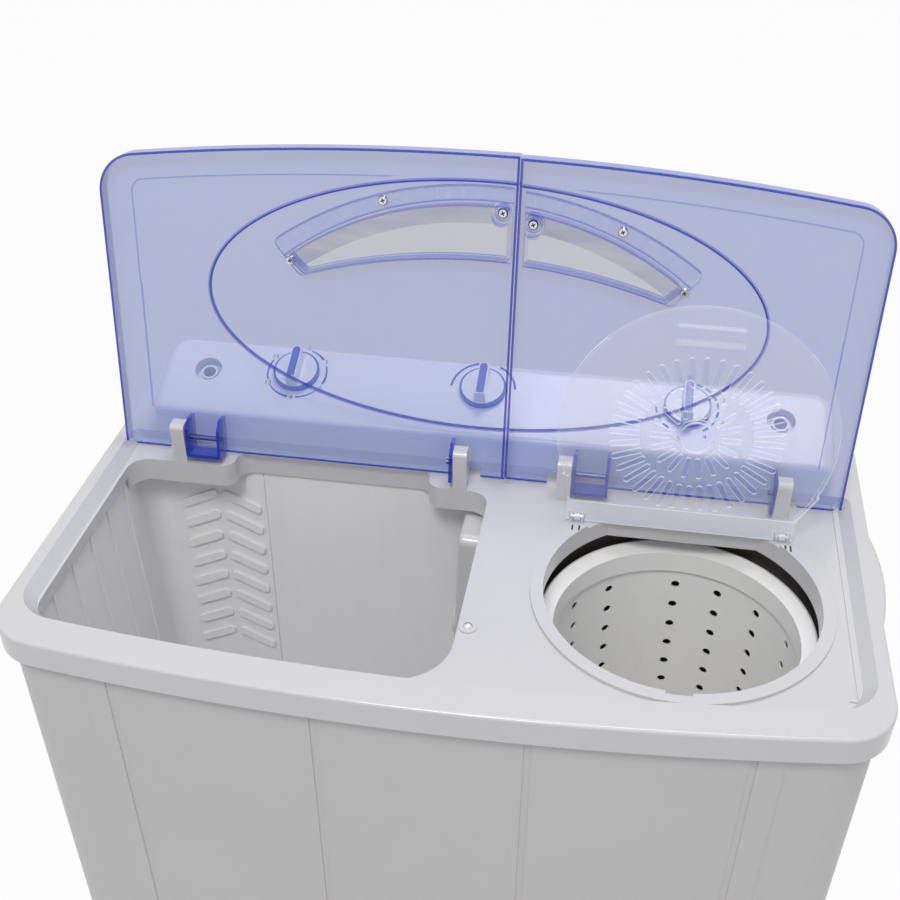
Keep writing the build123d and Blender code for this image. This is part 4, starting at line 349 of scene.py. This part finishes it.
def tinted(name, stance, left, right, border_x):
    """The plastic of the lid between left and right, with its border line at border_x."""
    oval_across, oval_up = -0.0025, 0.170
    oval_width, oval_height = 0.262, 0.1195
    ridge_inner, ridge_crest, ridge_outer = -0.0027, -0.0013, 0.0003
    ridge_lowest = 0.05
    border_half = 0.0006
    border_lowest, border_highest = 0.042, 0.170
    step_low, step_high = 0.0004, 0.0008
    rim_ahead = 0.0124
    foot_height, foot_ahead = 0.0012, 0.0005
    skirt = 0.004
    ear_height = 0.0402

    paint, start, surface, place = finish_of(name)
    across, up, ahead = lid_place(start, place, *stance)
    flat = face_on(start, stance[2])
    aside, above = across - oval_across, up - oval_up
    share_x = aside * aside * (1 / oval_width ** 2)
    share_up = above * above * (1 / oval_height ** 2)
    steep = start.maths(
        "SQRT", share_x * (1 / oval_width ** 2) + share_up * (1 / oval_height ** 2)
    )
    from_oval = (share_x + share_up - 1) / (steep * 2)
    ridge = (
        flat * (from_oval > ridge_inner) * (from_oval < ridge_outer) * (up > ridge_lowest)
    )
    crest = ridge * (from_oval < ridge_crest)
    border = flat * (start.maths("ABSOLUTE", across - border_x) < border_half)
    border = border * (up < border_highest) * (up > border_lowest)
    step = flat * (ahead > step_low) * (ahead < step_high)
    rim = flat * (ahead > rim_ahead)
    foot = (up < foot_height) * (ahead < foot_ahead)
    inside = (across > left + skirt) * (across < right - skirt)
    # Painted shade: this band spans the lid's whole width at its foot, not only its hinge
    # ears.
    ears_and_painted_band = inside * (up < ear_height) * (ahead > step_low)
    faint = border.most(step, ridge) * 0.45
    deep = rim.most(foot, crest, ears_and_painted_band * 0.6, faint)
    wall = (1 - flat).most(deep)
    haze = noise(start, place, 9.0, 4.0)
    scuff = noise(start, place, 60.0, 5.0, 0.7, 1.2)
    feed(
        surface, Base_Color=deep.blend(wall.blend(film_blue, wall_blue), deep_blue),
        Alpha=haze * 0.03 + wall * 0.17 + deep * 0.46 + 0.20,
        Roughness=scuff * 0.08 + 0.03, IOR=1.49, Specular_IOR_Level=0.35,
        Normal=bump(start, 0.15, 0.0002, haze),
    )
    return paint


dress(tinted("tinted_wash_lid", wash_stance, -0.357, 0.027, -0.3314), "wash_lid")
dress(tinted("tinted_spin_lid", spin_stance, 0.0282, 0.351, 0.3254), "spin_lid")


# Finger pockets: crescent inserts of the same plastic, each screwed to its lid by three
# screws. Flange and walls stand behind the lid's own film and show a stronger blue, with
# a deep line along every arc. A band of painted shade under the window's top stands for
# the shadowed top wall of the hollow seen through it.
def arc_line(across, up, centre_up, inner, outer):
    """1 between two radii round a point on the line between the lids."""
    between_lids = -0.002
    aside, above = across - between_lids, up - centre_up
    radius = across.maths("SQRT", aside * aside + above * above)
    return (radius > inner) * (radius < outer)


def pocket_tint(name, stance):
    top_centre, low_centre, flange_centre = -0.0342, -0.3177, -0.0532
    flange_ahead = 0.0024
    plate_ahead = -0.0004
    window_ahead, corner_ahead = 0.0124, 0.0128
    pocket_film = (0.24, 0.34, 0.86, 1)
    pocket_wall = (0.14, 0.25, 0.95, 1)
    pocket_shade_blue = (0.16, 0.20, 0.48, 1)
    streak_stretch = (1.0, 6.0, 6.0)

    paint, start, surface, place = finish_of(name)
    across, up, ahead = lid_place(start, place, *stance)
    flat = face_on(start, stance[2])
    flange = flat * (ahead < flange_ahead)
    window = flat * (ahead > window_ahead)
    corner = (1 - flat) * (ahead > corner_ahead)
    lip = (1 - flat) * (ahead < flange_ahead) * (ahead > plate_ahead)
    top_line = arc_line(across, up, top_centre, 0.3034, 0.3053) * window
    low_line = arc_line(across, up, low_centre, 0.5390, 0.5408) * window
    outer_line = arc_line(across, up, flange_centre, 0.3366, 0.3390) * flange
    step_line = arc_line(across, up, top_centre, 0.3052, 0.3068) * flange
    # Painted shade: a smoky blue band under the window's top, for the hollow's shadowed top
    # wall.
    painted_pocket_shade = arc_line(across, up, top_centre, 0.2890, 0.3034) * window
    faint = (low_line + outer_line + step_line) * 0.6
    deep = corner.most(top_line, lip * 0.85, faint)
    drawn = start.use("ShaderNodeMapping", None, 0, Vector=place, Scale=streak_stretch)
    streak = noise(start, drawn, 14.0, 4.0, 0.6, 0.4)
    body = flange.most(1 - flat).blend(pocket_film, pocket_wall)
    body = painted_pocket_shade.blend(body, pocket_shade_blue)
    feed(
        surface, Base_Color=deep.blend(body, deep_blue),
        Alpha=(
            streak * 0.08 + (1 - flat) * 0.24 + painted_pocket_shade * streak * 0.34 + deep * 0.44 + 0.02
        ),
        Roughness=streak * 0.12 + 0.03, IOR=1.49, Specular_IOR_Level=0.5,
        Normal=bump(start, 0.3, 0.0004, streak),
    )
    return paint


dress(pocket_tint("tinted_wash_pocket", wash_stance), "wash_lid_handle")
dress(pocket_tint("tinted_spin_pocket", spin_stance), "spin_lid_handle")

# Clear spin cover: colourless plastic on two short pins. The walls of its slots and its
# bead are whiter and more opaque, less so in its pull, and carry a faint painted glow that
# stands for the light they catch. The raised band along its foot is frosted.
cover_foot_y, cover_foot_z, cover_lean = 0.0556, 0.8051, 5
band_height = 0.0182
pull_lowest = 0.185
clear_plastic, clear, clear_surface, cover_spot = finish_of("clear_plastic")
_, cover_up, _ = lid_place(clear, cover_spot, cover_foot_y, cover_foot_z, cover_lean)
cover_face = face_on(clear, cover_lean)
cover_edge = 1 - cover_face
frost = (cover_up < band_height) * cover_face
cover_pull = cover_up > pull_lowest
cover_haze = noise(clear, cover_spot, 22.0, 4.0)
cover_scuff = noise(clear, cover_spot, 90.0, 5.0, 0.7, 1.2)
edge_alpha = cover_edge * (0.44 - cover_pull * 0.38)
feed(
    clear_surface,
    Base_Color=cover_edge.blend((0.86, 0.88, 0.92, 1), (0.93, 0.95, 0.98, 1)),
    Alpha=cover_haze * 0.04 + edge_alpha + frost * 0.42 + 0.07,
    # Painted light: a faint glow on the cover's slot walls and bead, which are no lamp.
    Emission_Color=cover_edge.blend((0, 0, 0, 1), (0.09, 0.10, 0.115, 1)),
    Emission_Strength=1.0, Roughness=cover_scuff * 0.08 + 0.02, IOR=1.49,
    Normal=bump(clear, 0.15, 0.0002, cover_haze),
)
dress(clear_plastic, "inner_lid")


# Screws, the cover's pins and the three shafts: polished steel with fine turning marks.
def metal(name, pale, dark, gloss, scale):
    paint, start, surface, place = finish_of(name)
    mark = noise(start, place, scale, 3.0)
    feed(
        surface, Base_Color=mark.blend((*dark, 1), (*pale, 1)), Metallic=1.0,
        Roughness=mark * 0.2 + (gloss - 0.1), Normal=bump(start, 0.2, 0.0002, mark),
    )
    return paint


steel = metal("polished_steel", (0.80, 0.80, 0.82), (0.62, 0.62, 0.65), 0.2, 700)
dress(
    steel, "wash_lid_screws", "spin_lid_screws", "deck_screw", "inner_lid_pins",
    "rear_cover_screws", "pulsator_shaft", "motor_shaft", "spin_shaft",
)

# Lid hinge pins: steel rods pushed through the posts, toned dark blue as painted shade
# for their place inside the tinted ears.
shaded_pin_steel = metal("shaded_pin_steel", (0.11, 0.14, 0.33), (0.06, 0.08, 0.24), 0.34, 600)
dress(shaded_pin_steel, "lid_hinge_pins")

# Motor brackets, rear cover and brake lever: zinc plated sheet steel with its spangle.
# The cover is screwed to the cabinet's back.
zinc, plate, plate_surface, plate_place = finish_of("zinc_plate")
spangle = plate.use("ShaderNodeTexVoronoi", None, "Color", Vector=plate_place, Scale=300)
shine = plate.use("ShaderNodeSeparateColor", None, 0, Color=spangle)
feed(
    plate_surface, Metallic=1.0, Roughness=shine * 0.16 + 0.32,
    Base_Color=shine.blend((0.50, 0.51, 0.53, 1), (0.64, 0.65, 0.67, 1)),
)
dress(zinc, "rear_cover", "wash_motor_bracket", "spin_motor_bracket", "brake_lever")

# Bearing housing, pulleys and brake drum: cast aluminium with a sandy skin.
casting = metal("cast_aluminium", (0.66, 0.67, 0.68), (0.48, 0.49, 0.50), 0.42, 900)
dress(casting, "pulsator_bearing", "pulsator_pulley", "motor_pulley", "brake_drum")

# Motors and capacitor: dark paint on steel, in the space under the tubs.
motor_paint = moulded(
    "motor_paint", (0.07, 0.075, 0.085), (0.045, 0.05, 0.06), 0.4, 0.0005, 500
)
dress(motor_paint, "wash_motor", "spin_motor", "motor_capacitor")

# Feet, shaft seal, V-belt, motor mounts and drain plug: black rubber, slightly dusty.
rubber = moulded(
    "black_rubber", (0.045, 0.045, 0.047), (0.02, 0.02, 0.021), 0.6, 0.0006, 800
)
dress(rubber, "feet", "spin_seal", "drive_belt", "spin_motor_mounts", "drain_plug")

# Timers, selector switch and lid switch: black moulded housings under the console.
black_plastic = moulded(
    "black_plastic", (0.035, 0.035, 0.04), (0.02, 0.02, 0.024), 0.45, 0.0003, 500
)
dress(black_plastic, "wash_timer_body", "selector_switch", "spin_timer_body", "lid_switch")

# Drain hose and spin drain pipe: grey vinyl with moulded rings, darker in their hollows:
# painted shade in the grooves.
ring_scale = 60.0
hose_vinyl, hose, hose_surface, hose_place = finish_of("hose_vinyl")
rings_and_groove_shade = hose.use(
    "ShaderNodeTexWave", {"bands_direction": "Z"}, 0, Vector=hose_place, Scale=ring_scale
)
feed(
    hose_surface, Base_Color=rings_and_groove_shade.blend((0.30, 0.31, 0.33, 1), (0.40, 0.41, 0.43, 1)),
    Roughness=0.5, Normal=bump(hose, 0.6, 0.001, rings_and_groove_shade),
)
dress(hose_vinyl, "drain_hose", "spin_drain_pipe")

# Knobs: white caps with a raised grip, on the switches' stems.
knob_white = moulded(
    "knob_white", (0.77, 0.77, 0.79), (0.74, 0.74, 0.765), 0.2, 0.0001, 500, 0.4
)
dress(knob_white, "wash_timer_knob", "wash_selector_knob", "spin_timer_knob")

# Knob trims: a deep blue skirt ring with a blue inlay along the grip. The pulsator's cap
# is the same blue.
knob_blue = moulded(
    "knob_blue", (0.075, 0.085, 0.40), (0.055, 0.065, 0.34), 0.22, 0.0001, 500, 0.4
)
dress(
    knob_blue, "wash_timer_trim", "wash_selector_trim", "spin_timer_trim", "pulsator_cap"
)

# Dial prints: blue scale arcs round the knobs and small dark numbers, a thin film of ink
# on the console's face.
slope = radians(23)
face_y, face_z = 0.124, 0.8395
console_frame = Matrix((
    (1, 0, 0, 0),
    (0, cos(slope), -sin(slope), face_y),
    (0, sin(slope), cos(slope), face_z),
    (0, 0, 0, 1),
))
ink_height = 0.0001
dial_ink = moulded(
    "dial_ink", (0.045, 0.06, 0.42), (0.035, 0.05, 0.38), 0.4, 0.0001, 600
)
number_ink = moulded(
    "number_ink", (0.03, 0.03, 0.12), (0.02, 0.02, 0.10), 0.4, 0.0001, 600
)


def mesh_piece(name, shape, stand, paint, body):
    """Makes a piece of a shape, stood in its place, and lets it ride on a body."""
    mesh = bpy.data.meshes.new(name)
    shape.to_mesh(mesh)
    shape.free()
    mesh.transform(stand)
    mesh.materials.append(paint)
    piece = bpy.data.objects.new(name, mesh)
    bpy.context.collection.objects.link(piece)
    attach(piece, body)


def print_arcs(name, x, up, radius, spans, widths):
    """Scale arcs round a knob, clock angles in degrees, each from one width to another."""
    degrees_per_step, fewest_steps = 4, 4
    shape = bmesh.new()
    for (start, end), (first, last) in zip(spans, widths):
        sweep = radians(end - start)
        before = set(shape.verts)
        rim = [shape.verts.new((0, radius + side * first / 2, 0)) for side in (1, -1)]
        bmesh.ops.spin(
            shape, geom=[*rim, shape.edges.new(rim)], cent=(0, 0, 0), axis=(0, 0, -1),
            angle=sweep, steps=max(fewest_steps, int((end - start) / degrees_per_step)),
            use_merge=False, use_duplicate=False,
        )
        fresh = [vertex for vertex in shape.verts if vertex not in before]
        for vertex in fresh:
            out = vertex.co.normalized()
            half = (first + (last - first) * atan2(out.x, out.y) / sweep) / 2
            vertex.co = out * (radius + copysign(half, vertex.co.length - radius))
        turn = Matrix.Rotation(-radians(start), 3, "Z")
        bmesh.ops.rotate(shape, verts=fresh, cent=(0, 0, 0), matrix=turn)
    bmesh.ops.recalc_face_normals(shape, faces=shape.faces)
    bmesh.ops.translate(shape, verts=shape.verts, vec=(x, up, ink_height))
    mesh_piece(name, shape, console_frame, dial_ink, "cabinet")


def print_numbers(prefix, dial, ring, size, clocks):
    """Numbers on a ring round a dial, each at its clock angle in degrees."""
    for words, clock in clocks:
        name = prefix + words
        letters = bpy.data.curves.new(name, "FONT")
        letters.body = words
        letters.size = size
        letters.align_x = "CENTER"
        letters.align_y = "CENTER"
        holder = bpy.data.objects.new(name, letters)
        flat = bpy.data.meshes.new_from_object(holder)
        bpy.data.objects.remove(holder)
        shape = bmesh.new()
        shape.from_mesh(flat)
        bpy.data.meshes.remove(flat)
        spot = (
            dial[0] + ring * sin(radians(clock)), dial[1] + ring * cos(radians(clock)),
            ink_height,
        )
        bmesh.ops.translate(shape, verts=shape.verts, vec=spot)
        mesh_piece(name, shape, console_frame, number_ink, "cabinet")


wash_dial = (-0.198, 0.057)
print_arcs(
    "wash_scale", *wash_dial, 0.0305,
    ((18, 52), (68, 112), (128, 172), (188, 232), (248, 296)),
    (
        (0.0009, 0.0026), (0.0013, 0.0026), (0.0011, 0.0020), (0.0026, 0.0011),
        (0.0014, 0.0020),
    ),
)
print_numbers(
    "wash_number_", wash_dial, 0.0318, 0.0075,
    (("1", 12), ("3", 60), ("6", 120), ("9", 180), ("12", 240), ("15", 304)),
)
selector_dial = (-0.0055, 0.057)
print_arcs(
    "selector_scale", *selector_dial, 0.0325, ((-88, -14), (26, 84)), ((0.0021, 0.0021),) * 2
)
spin_dial = (0.199, 0.057)
spin_spans = (
    (15, 27), (33, 47), (53, 67), (73, 87), (93, 107), (113, 127), (133, 147),
    (213, 227), (233, 247), (253, 267),
)
print_arcs(
    "spin_scale", *spin_dial, 0.0305, spin_spans, ((0.0019, 0.0019),) * len(spin_spans)
)
print_numbers(
    "spin_number_", spin_dial, 0.0375, 0.0072,
    (("0", 0), ("1", 30), ("2", 70), ("3", 110), ("4", 150), ("5", 190)),
)

# Cross recesses of the lid screws: painted shade, a near black cross laid on each polished
# head where the recess lies in shadow.
recess_shade = moulded(
    "screw_recess", (0.03, 0.028, 0.026), (0.015, 0.014, 0.013), 0.6, 0.0001, 900
)


def screw_recesses(name, stance, body, places):
    """A small near black cross of painted shade on each screw head of one lid, given across
    and up the lid.
    """
    arm = (0.0042, 0.0011, 0.0004)
    head_ahead = 0.0039
    cross_turn = 0.4
    shape = bmesh.new()
    for across, up in places:
        for turn in (cross_turn, cross_turn + pi / 2):
            made = bmesh.ops.create_cube(shape, size=1)["verts"]
            bmesh.ops.scale(shape, verts=made, vec=arm)
            bmesh.ops.rotate(
                shape, verts=made, cent=(0, 0, 0), matrix=Matrix.Rotation(turn, 3, "Z")
            )
            bmesh.ops.translate(shape, verts=made, vec=(across, up, head_ahead))
    bmesh.ops.bevel(
        shape, geom=shape.edges[:], offset=0.0001, offset_type="OFFSET", segments=1,
        profile=0.5, affect="EDGES", material=-1,
    )
    foot_y, foot_z, lean = stance
    tilt = radians(lean)
    standing = Matrix((
        (1, 0, 0, 0),
        (0, sin(tilt), -cos(tilt), foot_y),
        (0, cos(tilt), sin(tilt), foot_z),
        (0, 0, 0, 1),
    ))
    mesh_piece(name, shape, standing, recess_shade, body)


screw_recesses(
    "wash_screw_recesses", wash_stance, "left_lid",
    ((-0.183, 0.204), (-0.0955, 0.2655), (0.013, 0.262)),
)
screw_recesses(
    "spin_screw_recesses", spin_stance, "right_lid",
    ((0.041, 0.255), (0.120, 0.2545), (0.1795, 0.204)),
)

# Slots ahead of the clear cover's lugs: narrow openings in the deck that drain its hinge,
# two to a lug, drawn as thin near black strips of painted shade laid on the deck. Each
# is given by its x, its y and its length.
slot_places = (
    (0.1003, 0.0415, 0.008), (0.1067, 0.0418, 0.0075),
    (0.2982, 0.0440, 0.006), (0.3028, 0.0425, 0.009),
)
slot_width, slot_depth = 0.0018, 0.0003
slot_z = 0.80292
slots = bmesh.new()
for x, y, length in slot_places:
    cut = bmesh.ops.create_cube(slots, size=1)["verts"]
    bmesh.ops.scale(slots, verts=cut, vec=(slot_width, length, slot_depth))
    bmesh.ops.translate(slots, verts=cut, vec=(x, y, slot_z))
bmesh.ops.bevel(
    slots, geom=slots.edges[:], offset=0.00012, offset_type="OFFSET", segments=1,
    profile=0.5, affect="EDGES", material=-1,
)
mesh_piece("hinge_drain_slots", slots, Matrix(), recess_shade, "cabinet")
